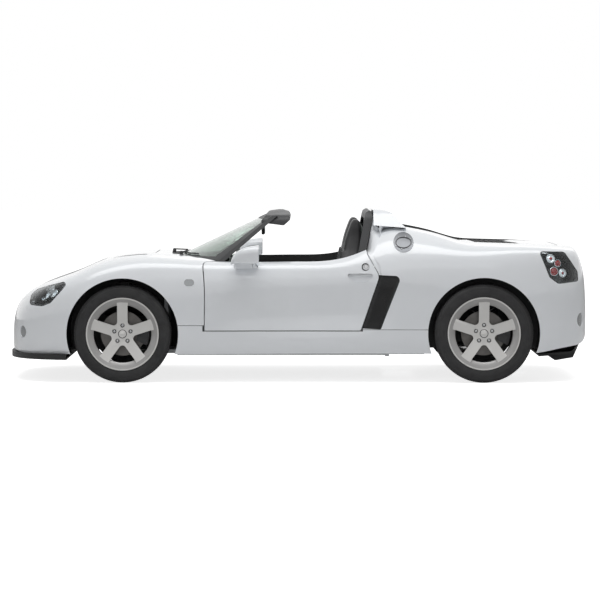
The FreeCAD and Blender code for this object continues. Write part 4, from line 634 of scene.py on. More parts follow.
@dataclass
class RoadWheel:
    """Tyre tread, bolts, cap and valve of one wheel.

    Attributes:
        end: "front" or "rear".
        side: "left" or "right".
        sign: -1 on the left, 1 on the right.
        blocks: Tread blocks round the tyre.
        bead: Radius of the rim's edge, where the sidewall starts.
        ribs: Edges of the tread's ribs, as shares of the half width.
        groove: Depth of the grooves between the ribs.
        gap: Width of the cuts between blocks.
        lift: Height of a block over them.
        least_top: Smallest area of a face that becomes a block.
        slant_deg: How far the blocks lean forward in the middle.
        bolt_circle: Radius on which the bolts stand.
        bolt_depth: How far a bolt's foot lies inside the wheel's face.
        cap_depth: How far the cap's foot lies inside it.
        centre: The wheel's middle.
        face: From its middle to its outer face.
    """

    end: str
    side: str
    sign: int
    blocks: int = 72
    bead: float = 0.235
    ribs: tuple[float, ...] = (0.86, 0.62, 0.55, 0.24, 0.17)
    groove: float = 0.0065
    gap: float = 0.0022
    lift: float = 0.0042
    least_top: float = 0.000126
    slant_deg: float = 7.0
    bolt_circle: float = 0.055
    bolt_depth: float = 0.0315
    cap_depth: float = 0.020
    centre: Vector = field(init=False)
    face: float = field(init=False)

    def __post_init__(self) -> None:
        """Take the middle and the face from the CAD wheel."""
        self.centre, half = middle_and_half(self.body)
        self.face = half.y

    @property
    def axis(self) -> Vector:
        """Outward direction of the axle."""
        return Vector((0, self.sign, 0))

    @property
    def body(self) -> str:
        """The CAD body of the wheel."""
        return f"{self.end}_wheel_{self.side}"

    def build(self) -> None:
        """Build the wheel's pieces."""
        self._tyre()
        self._bolts()
        self._cap()
        self._valve()

    def _tyre(self) -> None:
        """A tyre with ribs, slanted blocks and a ringed sidewall."""
        node = f"{self.end}_tyre_{self.side}"
        _, size = middle_and_half(node)
        radius, half = size.z, size.y
        seat, edge, ribs, deep = self.face, self.bead, self.ribs, self.groove
        flank = [
            (seat - 0.026, edge - 0.016), (seat - 0.013, edge - 0.016), (seat - 0.0085, edge + 0.0008),
            (seat + 0.004, edge + 0.004), (half * 0.965, edge + 0.010), (half * 0.985, edge + 0.0155),
            (half * 0.985, edge + 0.017), (half * 0.998, edge + 0.027), (half * 0.999, edge + 0.036),
            (half * 0.985, edge + 0.046), (half * 0.972, edge + 0.0470), (half * 0.965, radius - 0.024),
            (half * 0.945, radius - 0.018), (half * 0.93, radius - 0.0165), (half * 0.90, radius - 0.0125)]
        tread = [(half * 0.88, radius - 0.0115), (half * ribs[0], radius - 0.0095)]
        tread += [(half * ribs[1], radius - 0.0055), (half * ribs[1] - 0.001, radius - 0.0055 - deep)]
        tread += [(half * ribs[2] + 0.001, radius - 0.005 - deep), (half * ribs[2], radius - 0.005)]
        tread += [(half * ribs[3], radius - 0.0045), (half * ribs[3] - 0.001, radius - 0.0045 - deep)]
        tread += [(half * ribs[4] + 0.001, radius - 0.0045 - deep), (half * ribs[4], radius - 0.0045)]
        outer = flank + tread
        inner = [(half * 0.82, radius - 0.026), (half * 0.88, radius - 0.05), (seat - 0.026, edge + 0.004)]
        profile = outer + [(-a, r) for a, r in reversed(outer)]
        profile += [(-a, r) for a, r in reversed(inner)] + inner
        mesh = spun(profile, self.axis, self.centre, self.blocks, closed=True)
        tops = [f for f in mesh.faces if self._is_rib(f, radius, half)]
        bmesh.ops.inset_individual(mesh, faces=tops, thickness=self.gap, depth=self.lift,
                                   use_even_offset=True)
        self._slant(mesh, half, radius)
        made = piece(node.replace("tyre", "tread"), mesh, TYRE_RUBBER, self.body, "tyre", 28)
        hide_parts(node)

    def _is_rib(self, face: bmesh.types.BMFace, radius: float, half: float) -> bool:
        """Whether a face is the top of a tread rib.

        Args:
            face: The face.
            radius: The tyre's radius.
            half: Half of its width.

        Returns:
            True for a rib's top.
        """
        spot = face.calc_center_median() - self.centre
        out = Vector((spot.x, 0, spot.z))
        wide = face.calc_area() > self.least_top
        return out.length > radius - 0.0115 and abs(spot.y) < half * 0.84 and wide

    def _slant(self, mesh: bmesh.types.BMesh, half: float, radius: float) -> None:
        """Turn the tread forward towards its middle, so that the blocks slant.

        Args:
            mesh: The tyre.
            half: Half of its width.
            radius: Its radius.
        """
        for vert in mesh.verts:
            spot = vert.co - self.centre
            if Vector((spot.x, 0, spot.z)).length < radius - 0.022:
                continue
            turn = math.radians(self.slant_deg) * (1 - abs(spot.y) / half)
            vert.co = self.centre + Matrix.Rotation(turn, 3, "Y") @ spot

    def _bolts(self) -> None:
        """Five hexagonal bolts in their recesses."""
        head = [(0, 0), (0, 0.0094), (0.002, 0.0094), (0.002, 0.0082), (0.0120, 0.0080), (0.0136, 0.0062),
                (0.0136, 0)]
        wall = [(-0.0005, 0.0116), (0.0092, 0.0116), (0.0104, 0.0122), (0.0117, 0.0132), (0.0121, 0.0140),
                (0.0112, 0.0144), (0.0095, 0.0125)]
        ground = [(0.0006, 0.0118), (0.0006, 0.0)]
        heads, seats = [], []
        for spoke in range(SPOKES):
            turn = math.radians(FIRST_SPOKE_DEG + SPOKE_STEP_DEG * spoke)
            foot = self.centre + Vector((math.cos(turn), 0, math.sin(turn))) * self.bolt_circle
            foot += self.axis * (self.face - self.bolt_depth)
            heads.append(spun(head, self.axis, foot, 6))
            seats += [spun(wall, self.axis, foot, 32), spun(ground, self.axis, foot, 32)]
        made = piece(f"bolts_{self.end}_{self.side}", joined(heads), ZINC, self.body, "wheel", 20)
        bevelled(made, 0.5)
        piece(f"bolt_seats_{self.end}_{self.side}", joined(seats), CAST_IRON, self.body, "wheel")

    def _cap(self) -> None:
        """The blank centre cap."""
        face = self.face - self.cap_depth
        cap = spun([(face - 0.004, 0.0235), (face + 0.002, 0.0235), (face + 0.0032, 0.0222),
                    (face + 0.0032, 0.0185), (face + 0.0020, 0.0175), (face + 0.0038, 0.010),
                    (face + 0.0042, 0.0)], self.axis, self.centre, 48)
        piece(f"cap_{self.end}_{self.side}", cap, WHEEL_SILVER, self.body, "wheel", 30)
        ring = spun([(face - 0.004, 0.0282), (face + 0.0006, 0.0282), (face + 0.0012, 0.0270),
                     (face + 0.0008, 0.0240), (face - 0.004, 0.0236)], self.axis, self.centre, 48,
                    closed=True)
        piece(f"cap_ring_{self.end}_{self.side}", ring, CAST_IRON, self.body, "wheel")

    def _valve(self) -> None:
        """The valve stem low on the rim."""
        foot = self.centre + Vector((0.02, 0, -0.196)) + self.axis * (self.face - 0.055)
        lean = (Vector((0, 0, 1)) * 0.35 + self.axis).normalized()
        stem = spun([(0, 0), (0, 0.006), (0.006, 0.0062), (0.008, 0.0042), (0.022, 0.004), (0.023, 0.0048),
                     (0.031, 0.0048), (0.033, 0.0036), (0.033, 0)], lean, foot, 20)
        piece(f"valve_{self.end}_{self.side}", stem, BLACK_ABS, self.body, "tyre")


@dataclass
class Softened:
    """CAD nodes with rounded edges, as castings and mouldings have them.

    Attributes:
        nodes: The CAD nodes.
        rings: Steps of a dish outwards.
        arc: Steps of a dish round the wheel.
        dish_from: How far inside the wheel's edge a dish starts.
        dish_run: Its length outwards.
        spoke: Half of a spoke's width.
        flare: How much wider a spoke gets towards the lip.
        sink: Depth of a dish at the window, over its depth at the lip.
        lip_sink: Its depth at the lip.
        slope: Radii between which the slopes carry the thinner lacquer.
        flat: A face whose normal is nearer to the axle than this is no slope.
    """

    nodes: dict[str, bpy.types.Object]
    rings: int = 8
    arc: int = 16
    dish_from: float = 0.062
    dish_run: float = 0.049
    spoke: float = 0.0355
    flare: float = 0.013
    sink: float = 0.030
    lip_sink: float = 0.0035
    # slope: Radii between which the slopes get the darker silver of painted shade.
    slope: tuple[float, float] = (0.165, 0.2235)
    flat: float = 0.985

    def build(self) -> None:
        """Stand a rounded copy in for each wheel, the steering wheel and the screen frame."""
        for end in ("front", "rear"):
            for side, sign in SIDES:
                body = f"{end}_wheel_{side}"
                self._round(body, 2.6, 3, body, "wheel", WHEEL_SILVER, self._dishes(body, sign))
        self._round("steering_wheel", 3.0, 3, "steering_wheel", "grip", NODE_FINISH["steering_wheel"])
        self._round("windscreen_frame", 5.0, 3, "body", "satin_grey", NODE_FINISH["windscreen_frame"])

    def _round(self, name: str, width_mm: float, segments: int, body: str, slot: str, finish: Finish,
               cutter: bmesh.types.BMesh | None = None) -> None:
        """Round one node's edges in a copy that stands in for it.

        Args:
            name: The node.
            width_mm: Width of the rounding.
            segments: Its segments.
            body: The CAD body that it moves with.
            slot: The record's material slot; not used.
            finish: Its finish.
            cutter: A shape that is taken away first.
        """
        node = self.nodes[name]
        mesh = bmesh.new()
        mesh.from_mesh(node.data)
        mesh.transform(node.matrix_world)
        bmesh.ops.remove_doubles(mesh, verts=mesh.verts, dist=0.00002)
        bmesh.ops.dissolve_limit(mesh, angle_limit=math.radians(1.5), verts=mesh.verts, edges=mesh.edges)
        if cutter:
            mesh = less(mesh, cutter)
        made = piece(f"{name}_rounded", mesh, finish, body, slot, 32)
        if cutter:
            self._shade_dishes(made, name)
        bevelled(made, width_mm, segments)
        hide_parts(name)

    def _shade_dishes(self, made: bpy.types.Object, name: str) -> None:
        """Paint shade on the slopes between the spokes with a darker, duller silver.

        Args:
            made: The rounded wheel.
            name: The wheel's CAD node.
        """
        inner, outer = self.slope
        centre, _ = middle_and_half(name)
        # Painted shade: the slopes of the dishes take a darker silver than the wheel.
        made.data.materials.append(DISH_SILVER.material())
        for face in made.data.polygons:
            spot = face.center - centre
            radius = math.hypot(spot.x, spot.z)
            if inner < radius < outer and abs(face.normal.y) < self.flat:
                face.material_index = 1

    def _dishes(self, name: str, sign: int) -> bmesh.types.BMesh:
        """The hollows between a wheel's spokes, from the windows out to the lip.

        Args:
            name: The wheel's CAD node.
            sign: -1 on the left, 1 on the right.

        Returns:
            Five closed cutters in one shape.
        """
        centre, size = middle_and_half(name)
        edge, half = size.z, size.y
        rounds = []
        for spoke in range(SPOKES):
            mesh = bmesh.new()
            layers = []
            for step in range(self.rings + 1):
                share = step / self.rings
                radius = edge - self.dish_from + self.dish_run * share
                wide = self.spoke + self.flare * max(0.0, share - 0.35) ** 2
                sink = self.sink * (1 - share) ** 1.6 + self.lip_sink
                margin = math.asin(wide / radius)
                turns = [math.radians(FIRST_SPOKE_DEG + SPOKE_STEP_DEG * spoke) + margin
                         + (math.radians(SPOKE_STEP_DEG) - 2 * margin) * part / self.arc
                         for part in range(self.arc + 1)]
                spots = [(radius * math.cos(turn), radius * math.sin(turn)) for turn in turns]
                layers.append([[centre + Vector((x, sign * depth, z)) for x, z in spots]
                               for depth in (half - sink, half + 0.004)])
            grid = [[[mesh.verts.new(spot) for spot in row] for row in layer] for layer in layers]
            for near, far in zip(grid, grid[1:]):
                for part in range(self.arc):
                    mesh.faces.new((near[0][part], near[0][part + 1], far[0][part + 1], far[0][part]))
                    mesh.faces.new((near[1][part + 1], near[1][part], far[1][part], far[1][part + 1]))
                for end in (0, self.arc):
                    mesh.faces.new((near[0][end], near[1][end], far[1][end], far[0][end]))
            for layer in (grid[0], grid[-1]):
                for part in range(self.arc):
                    mesh.faces.new((layer[0][part], layer[0][part + 1], layer[1][part + 1], layer[1][part]))
            bmesh.ops.recalc_face_normals(mesh, faces=mesh.faces)
            rounds.append(mesh)
        return joined(rounds)


@dataclass
class Lamps:
    """Projectors, bezels and rounds under the clear lamp covers.

    Attributes:
        nodes: The CAD nodes.
        projectors: X, Z, radius and depth under the cover of each headlamp projector.
        rounds: X, Z, radius and finish of each tail lamp round.
        tail_depth: Depth of the rounds under their cover.
    """

    nodes: dict[str, bpy.types.Object]
    projectors: tuple[tuple[float, ...], ...] = (
        (-1.640, 0.575, 0.021, 0.030), (-1.588, 0.597, 0.025, 0.034), (-1.530, 0.634, 0.011, 0.022),
        (-1.664, 0.545, 0.012, 0.022))
    rounds: tuple[tuple[Any, ...], ...] = (
        (1.627, 0.809, 0.030, METALLISED), (1.676, 0.775, 0.025, RED_ACRYLIC),
        (1.650, 0.722, 0.030, RED_ACRYLIC), (1.710, 0.710, 0.028, METALLISED))
    tail_depth: float = 0.022

    def build(self) -> None:
        """Build both sides' lamps."""
        front = Skin(self.nodes["headlamp_covers"])
        for number, (x, z, radius, depth) in enumerate(self.projectors):
            spot, normal = front.beside(x, z)
            aim = (normal * 0.75 + Vector((-0.5, 0, 0.05))).normalized()
            self._projector(f"projector_{number}", spot - normal * depth, aim, radius)
        back = Skin(self.nodes["tail_lamp_covers"])
        for number, (x, z, radius, finish) in enumerate(self.rounds):
            spot, normal = back.beside(x, z)
            self._round(f"tail_round_{number}", spot - normal * self.tail_depth, normal, radius, finish)

    @staticmethod
    def _projector(name: str, foot: Vector, aim: Vector, radius: float) -> None:
        """One projector: a bright bezel, a bright bowl and a glass ball lens.

        Args:
            name: Its pieces' first name.
            foot: Its middle.
            aim: Where it looks.
            radius: Its radius.
        """
        bezel = [(-0.020, radius * 0.80), (-0.004, radius * 0.96), (0, radius), (0.0014, radius * 0.97),
                 (0.0014, radius * 0.90), (0, radius * 0.86), (-0.006, radius * 0.80),
                 (-0.020, radius * 0.70)]
        rim = mirrored(spun(bezel, aim, foot, 40, closed=True))
        piece(f"{name}_bezel", rim, METALLISED, "body", "headlamp")
        bowl = [(-0.006, radius * 0.84), (-0.014, radius * 0.6), (-0.017, 0)]
        piece(f"{name}_bowl", mirrored(spun(bowl, aim, foot, 40)), METALLISED, "body", "headlamp")
        ball = [(-0.005, radius * 0.80), (0.0, radius * 0.74), (0.0045, radius * 0.60),
                (0.0085, radius * 0.38), (0.0102, radius * 0.16), (0.0106, 0)]
        piece(f"{name}_lens", mirrored(spun(ball, aim, foot, 40)), CLEAR_LENS, "body", "lamp_cover")

    @staticmethod
    def _round(name: str, foot: Vector, aim: Vector, radius: float, finish: Finish) -> None:
        """One tail lamp round: a bright ring about a domed lens.

        Args:
            name: Its pieces' first name.
            foot: Its middle.
            aim: Where it looks.
            radius: Its radius.
            finish: The dome's finish. A metallised dome has a red core.
        """
        ring = [(-0.010, radius), (0.002, radius), (0.0034, radius * 0.96), (0.0034, radius * 0.90),
                (0.001, radius * 0.85), (-0.010, radius * 0.84)]
        rim = mirrored(spun(ring, aim, foot, 40, closed=True))
        piece(f"{name}_ring", rim, METALLISED, "body", "tail_lamp")
        dome = [(-0.008, radius * 0.84), (0.0, radius * 0.82), (0.003, radius * 0.70),
                (0.0015, radius * 0.60), (0.0015, radius * 0.52), (0.0055, radius * 0.34), (0.0068, 0)]
        piece(f"{name}_dome", mirrored(spun(dome, aim, foot, 40)), finish, "body", "tail_lamp")
        if finish is METALLISED:
            core = [(0.0042, radius * 0.40), (0.0066, radius * 0.28), (0.0078, 0)]
            piece(f"{name}_core", mirrored(spun(core, aim, foot, 32)), RED_ACRYLIC, "body", "tail_lamp")


@dataclass
class Quarter:
    """The flank's return behind the door and the hoop, and the shields beside the engine.

    Attributes:
        nodes: The CAD nodes.
        levels: Heights of the return's rows.
        stride: Distance between two tries along the car or upwards.
        flank: Y that the flank lies outside of.
        cover: Y that the hoop cover's side lies outside of.
        bend: How quickly the return swings out to the flank.
        shield_size: Size of a shield beside the engine.
        shield_place: The left one's middle.
    """

    nodes: dict[str, bpy.types.Object]
    levels: tuple[float, ...] = (*(0.697 + 0.01 * step for step in range(29)),
                                 1.014, 1.03, 1.045, 1.06, 1.072)
    stride: float = 0.002
    flank: float = -0.3
    cover: float = -0.51
    bend: float = 2.2
    shield_size: tuple[float, float, float] = (0.246, 0.003, 0.29)
    shield_place: tuple[float, float, float] = (1.193, -0.310, 0.405)

    def build(self) -> None:
        """Build both sides."""
        self._return()
        self._skirt()
        self._shields()

    def _return(self) -> None:
        """A painted return from the flank's front edge to the hoop and the door's shut line."""
        fronts = [Skin(self.nodes[name]) for name in ("door_left", "roll_hoop")]
        backs = [Skin(self.nodes[name]) for name in ("rear_clam", "roll_hoop_cover")]
        mesh = bmesh.new()
        rows = []
        for level in self.levels:
            ahead = list(self._along(fronts, 0.40, 80, level))
            behind = next(self._along(backs, 0.44, 120, level), None)
            if not ahead or behind is None:
                continue
            start = ahead[-1] + Vector((0.005, 0, 0))
            end = behind + Vector((0.004, 0.004, 0))
            depth = end.y - start.y
            row = [start + Vector((0, max(0.014, 0.02 - depth), 0))]
            for step in range(7):
                share = step / 6
                out = 1 - (1 - share) ** self.bend
                row.append(Vector((start.x + (end.x - start.x) * share, start.y + depth * out, level)))
            rows.append([mesh.verts.new(spot) for spot in row])
        shell(mesh, rows)
        bmesh.ops.smooth_vert(mesh, verts=mesh.verts, factor=0.5, use_axis_x=False, use_axis_y=True,
                              use_axis_z=False)
        piece("quarter_returns", mirrored(mesh), PEARL, "body", "paint", 50)

    def _skirt(self) -> None:
        """A painted strip from the flank's top up to the hoop cover's lower edge."""
        flank, cover = Skin(self.nodes["rear_clam"]), Skin(self.nodes["roll_hoop_cover"])
        mesh = bmesh.new()
        rows = []
        for step in range(22):
            along = 0.500 + 0.008 * step
            low = self._edge(flank, along, 1.035, -self.stride)
            high = self._edge(cover, along, 0.960, self.stride)
            if low is None or high is None or low.z > high.z:
                continue
            low, high = low + Vector((0, 0.003, -0.004)), high + Vector((0, 0.003, 0.004))
            rows.append([mesh.verts.new(low.lerp(high, part / 4)) for part in range(5)])
        shell(mesh, rows)
        piece("quarter_skirts", mirrored(mesh), PEARL, "body", "paint", 50)

    def _along(self, skins: list[Skin], start: float, tries: int, level: float) -> Iterator[Vector]:
        """The places met along the left flank at one height, from the front.

        Args:
            skins: The surfaces that may be met.
            start: X of the first try.
            tries: How many tries are made.
            level: The height.

        Yields:
            Each place that lies on the flank.
        """
        for step in range(tries):
            for skin in skins:
                try:
                    spot, _ = skin.beside(start + self.stride * step, level)
                except ValueError:
                    continue
                if spot.y < self.flank:
                    yield spot

    def _edge(self, skin: Skin, along: float, start: float, way: float) -> Vector | None:
        """The edge of a surface's left side, from above or below.

        Args:
            skin: The surface.
            along: The place's X.
            start: Height of the first try.
            way: From one try to the next.

        Returns:
            The first place met, or None.
        """
        for count in range(60):
            try:
                spot, _ = skin.beside(along, start + way * count)
            except ValueError:
                continue
            if spot.y < self.cover:
                return spot
        return None

    def _shields(self) -> None:
        """Plates between the rear frame's posts, which close the view through the arches."""
        plates = soft_block(self.shield_size, 0.001, 2)
        moved(plates, Matrix.Translation(self.shield_place))
        piece("splash_shields", mirrored(plates), BLACK_ABS, "body", "black_plastic")


@dataclass
class IntakeMesh:
    """Punched mesh over the side intakes.

    Attributes:
        nodes: The CAD nodes.
        cell: From one hole to the next, drawn coarser than the real one so that it shows.
        corner: X and Z of the first hole.
        reach: Length and height that the holes may fill.
        outline: X and Z of the intake's corners: front top, rear top, rear low, front low.
    """

    nodes: dict[str, bpy.types.Object]
    cell: float = 0.011
    corner: tuple[float, float] = (0.41, 0.345)
    reach: tuple[float, float] = (0.26, 0.36)
    outline: tuple[tuple[float, float], ...] = (
        (0.532, 0.684), (0.650, 0.684), (0.532, 0.356), (0.424, 0.356))

    def build(self) -> None:
        """Build both sides' mesh in one piece."""
        skin = Skin(self.nodes["side_intakes"])
        mesh = bmesh.new()
        rise = self.cell * math.sqrt(3) / 2
        for row in range(int(self.reach[1] / rise)):
            for column in range(int(self.reach[0] / self.cell)):
                x = self.corner[0] + column * self.cell + (row % 2) * self.cell / 2
                z = self.corner[1] + row * rise
                if self._inside(x, z):
                    self._cell(mesh, x, z)
        bmesh.ops.remove_doubles(mesh, verts=mesh.verts, dist=self.cell * 0.05)
        bmesh.ops.inset_individual(mesh, faces=mesh.faces[:], thickness=self.cell * 0.09)
        inner = [f for f in mesh.faces if len(f.verts) == 6]
        bmesh.ops.delete(mesh, geom=inner, context="FACES")
        grown = bmesh.ops.extrude_face_region(mesh, geom=mesh.faces[:])
        for item in grown["geom"]:
            if isinstance(item, bmesh.types.BMVert):
                item.co.y = 0.003
        for vert in mesh.verts:
            spot, _ = skin.beside(vert.co.x, vert.co.z)
            vert.co.y += spot.y - 0.0035
        piece("intake_mesh", mirrored(mesh), GLOSS_BLACK, "body", "black_plastic", 25)

    def _cell(self, mesh: bmesh.types.BMesh, x: float, z: float) -> None:
        """One six-sided cell.

        Args:
            mesh: The shape that it goes into.
            x: Its middle along the car.
            z: Its middle's height.
        """
        reach = self.cell / math.sqrt(3)
        turns = [math.radians(60 * k) for k in range(6)]
        mesh.faces.new([mesh.verts.new((x + reach * math.sin(t), 0, z + reach * math.cos(t))) for t in turns])

    def _inside(self, x: float, z: float) -> bool:
        """Whether a cell lies inside the intake's outline.

        Args:
            x: Its middle along the car.
            z: Its middle's height.

        Returns:
            True for a cell that is kept.
        """
        front_top, rear_top, rear_low, front_low = self.outline
        if not front_low[1] < z < front_top[1]:
            return False
        share = (z - front_low[1]) / (front_top[1] - front_low[1])
        nose = front_low[0] + (front_top[0] - front_low[0]) * share
        tail = rear_low[0] + (rear_top[0] - rear_low[0]) * share
        return nose + self.cell < x < tail - self.cell


@dataclass
class Seats:
    """Two padded bucket seats with bolsters, flutes and seams.

    Attributes:
        across: Distance of a seat's middle from the car's.
        along_steps: Sections from the cushion's nose to the headrest's top.
        round_steps: Points of a section.
        seam: Place of the seams, as a share of the half width.
        fill: How full the padding is; not used.
        roundness: Powers that square a section off, across and in depth. 1 is an ellipse.
        bolster: Height, place and width of the bolsters' swell.
        stitch: Depth and width of the seams.
        flutes: Flutes over the whole length, and their height.
        plain_from: Place along from which the headrest is plain.
    """

    across: float = 0.325
    along_steps: int = 130
    round_steps: int = 120
    seam: float = 0.60
    fill: float = 0.9
    roundness: tuple[float, float] = (0.42, 0.55)
    bolster: tuple[float, float, float] = (0.020, 0.80, 0.14)
    stitch: tuple[float, float] = (0.006, 0.022)
    flutes: tuple[int, float] = (22, 0.0045)
    plain_from: float = 0.72

    # X and Z along the seat's front and back, and half of its width, all from the cushion's nose up.
    FRONT = ((-0.268, 0.292), (-0.190, 0.283), (-0.060, 0.262), (0.060, 0.246), (0.140, 0.262),
             (0.196, 0.400), (0.238, 0.580), (0.268, 0.740), (0.290, 0.850), (0.308, 0.930),
             (0.332, 1.000), (0.352, 1.046))
    BACK = ((-0.258, 0.212), (-0.180, 0.200), (-0.060, 0.197), (0.080, 0.197), (0.300, 0.215), (0.352, 0.380),
            (0.384, 0.560), (0.408, 0.740), (0.424, 0.850), (0.430, 0.930), (0.416, 1.000), (0.392, 1.046))
    WIDE = (0.196, 0.205, 0.209, 0.209, 0.209, 0.209, 0.209, 0.196, 0.140, 0.112, 0.106, 0.098)

    def build(self) -> None:
        """Build both seats as one padded piece that stands in for the CAD seats."""
        seats = piece("seats_padded", mirrored(self._shape()), LEATHER, "body", "seat", 40)
        seats.data.materials.append(SUEDE.material())
        for face in seats.data.polygons:
            spot = face.center
            middle = abs(abs(spot.y) - self.across) < self.seam * 0.200 and spot.z < 0.80
            if middle and face.normal.dot(Vector((-0.8, 0, 0.6))) > 0.35:
                face.material_index = 1
        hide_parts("seats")

    @staticmethod
    def _along(points: tuple[Any, ...], place: float) -> Any:
        """A smooth value between listed ones (Catmull-Rom).

        Args:
            points: Numbers or pairs.
            place: From 0 to 1.

        Returns:
            The number, or the pair as a 2-D vector.
        """
        run = place * (len(points) - 1)
        low = min(int(run), len(points) - 2)
        part = run - low
        picks = [points[max(0, min(len(points) - 1, low + k))] for k in (-1, 0, 1, 2)]
        if isinstance(picks[0], tuple):
            picks = [Vector(p) for p in picks]
        a, b, c, d = picks
        return (b * 2 + (c - a) * part + (a * 2 - b * 5 + c * 4 - d) * part ** 2
                + (b * 3 - a - c * 3 + d) * part ** 3) * 0.5

    def _shape(self) -> bmesh.types.BMesh:
        """The left seat's closed, padded body."""
        mesh = bmesh.new()
        rings = []
        for step in range(self.along_steps + 1):
            place = step / self.along_steps
            front, back = self._along(self.FRONT, place), self._along(self.BACK, place)
            wide = self._along(self.WIDE, place)
            close = min(place, 1 - place) * self.along_steps / 7
            fit = math.sqrt(1 - (1 - min(close, 1)) ** 2) if close < 1 else 1.0
            rings.append(self._ring(mesh, front, back, wide, place, 0.35 + 0.65 * fit))
        for low, high in zip(rings, rings[1:]):
            for number in range(self.round_steps):
                follow = (number + 1) % self.round_steps
                mesh.faces.new((low[number], low[follow], high[follow], high[number]))
        mesh.faces.new(list(reversed(rings[0])))
        mesh.faces.new(rings[-1])
        return mesh

    def _ring(self, mesh: bmesh.types.BMesh, front: Vector, back: Vector, wide: float, place: float,
              fit: float) -> list[bmesh.types.BMVert]:
        """One closed section across the seat.

        Args:
            mesh: The shape that it goes into.
            front: X and Z of the seat's front there.
            back: X and Z of its back.
            wide: Half of its width.
            place: From 0 at the cushion's nose to 1 at the top.
            fit: Below 1 where an end is rounded off.

        Returns:
            The section's vertices.
        """
        middle = (front + back) / 2
        reach = (front - back) / 2
        ring = []
        for number in range(self.round_steps):
            turn = 2 * math.pi * number / self.round_steps
            side = math.copysign(abs(math.cos(turn)) ** self.roundness[0], math.cos(turn))
            deep = math.copysign(abs(math.sin(turn)) ** self.roundness[1], math.sin(turn))
            puff = self._puff(side, place) if deep > 0 else 0.0
            out = middle + reach * deep * fit + reach.normalized() * puff * abs(deep)
            ring.append(mesh.verts.new((out.x, side * wide * (0.9 + 0.1 * fit) - self.across, out.y)))
        return ring

    def _puff(self, side: float, place: float) -> float:
        """How far the padding stands out from the plain section.

        Args:
            side: Place across, from -1 to 1.
            place: Place along, from 0 to 1.

        Returns:
            The height, in metres.
        """
        off = abs(side)
        lobe = stitch = flute = 0.0
        if place < self.plain_from:
            height, middle, width = self.bolster
            lobe = height * math.exp(-((off - middle) / width) ** 2)
            depth, width = self.stitch
            stitch = -depth * math.exp(-((off - self.seam) / width) ** 2)
        if off < self.seam - 0.02 and 0.03 < place < 0.68:
            count, height = self.flutes
            flute = height * abs(math.sin(place * math.pi * count)) ** 0.5 - 0.003
        return lobe + stitch + flute


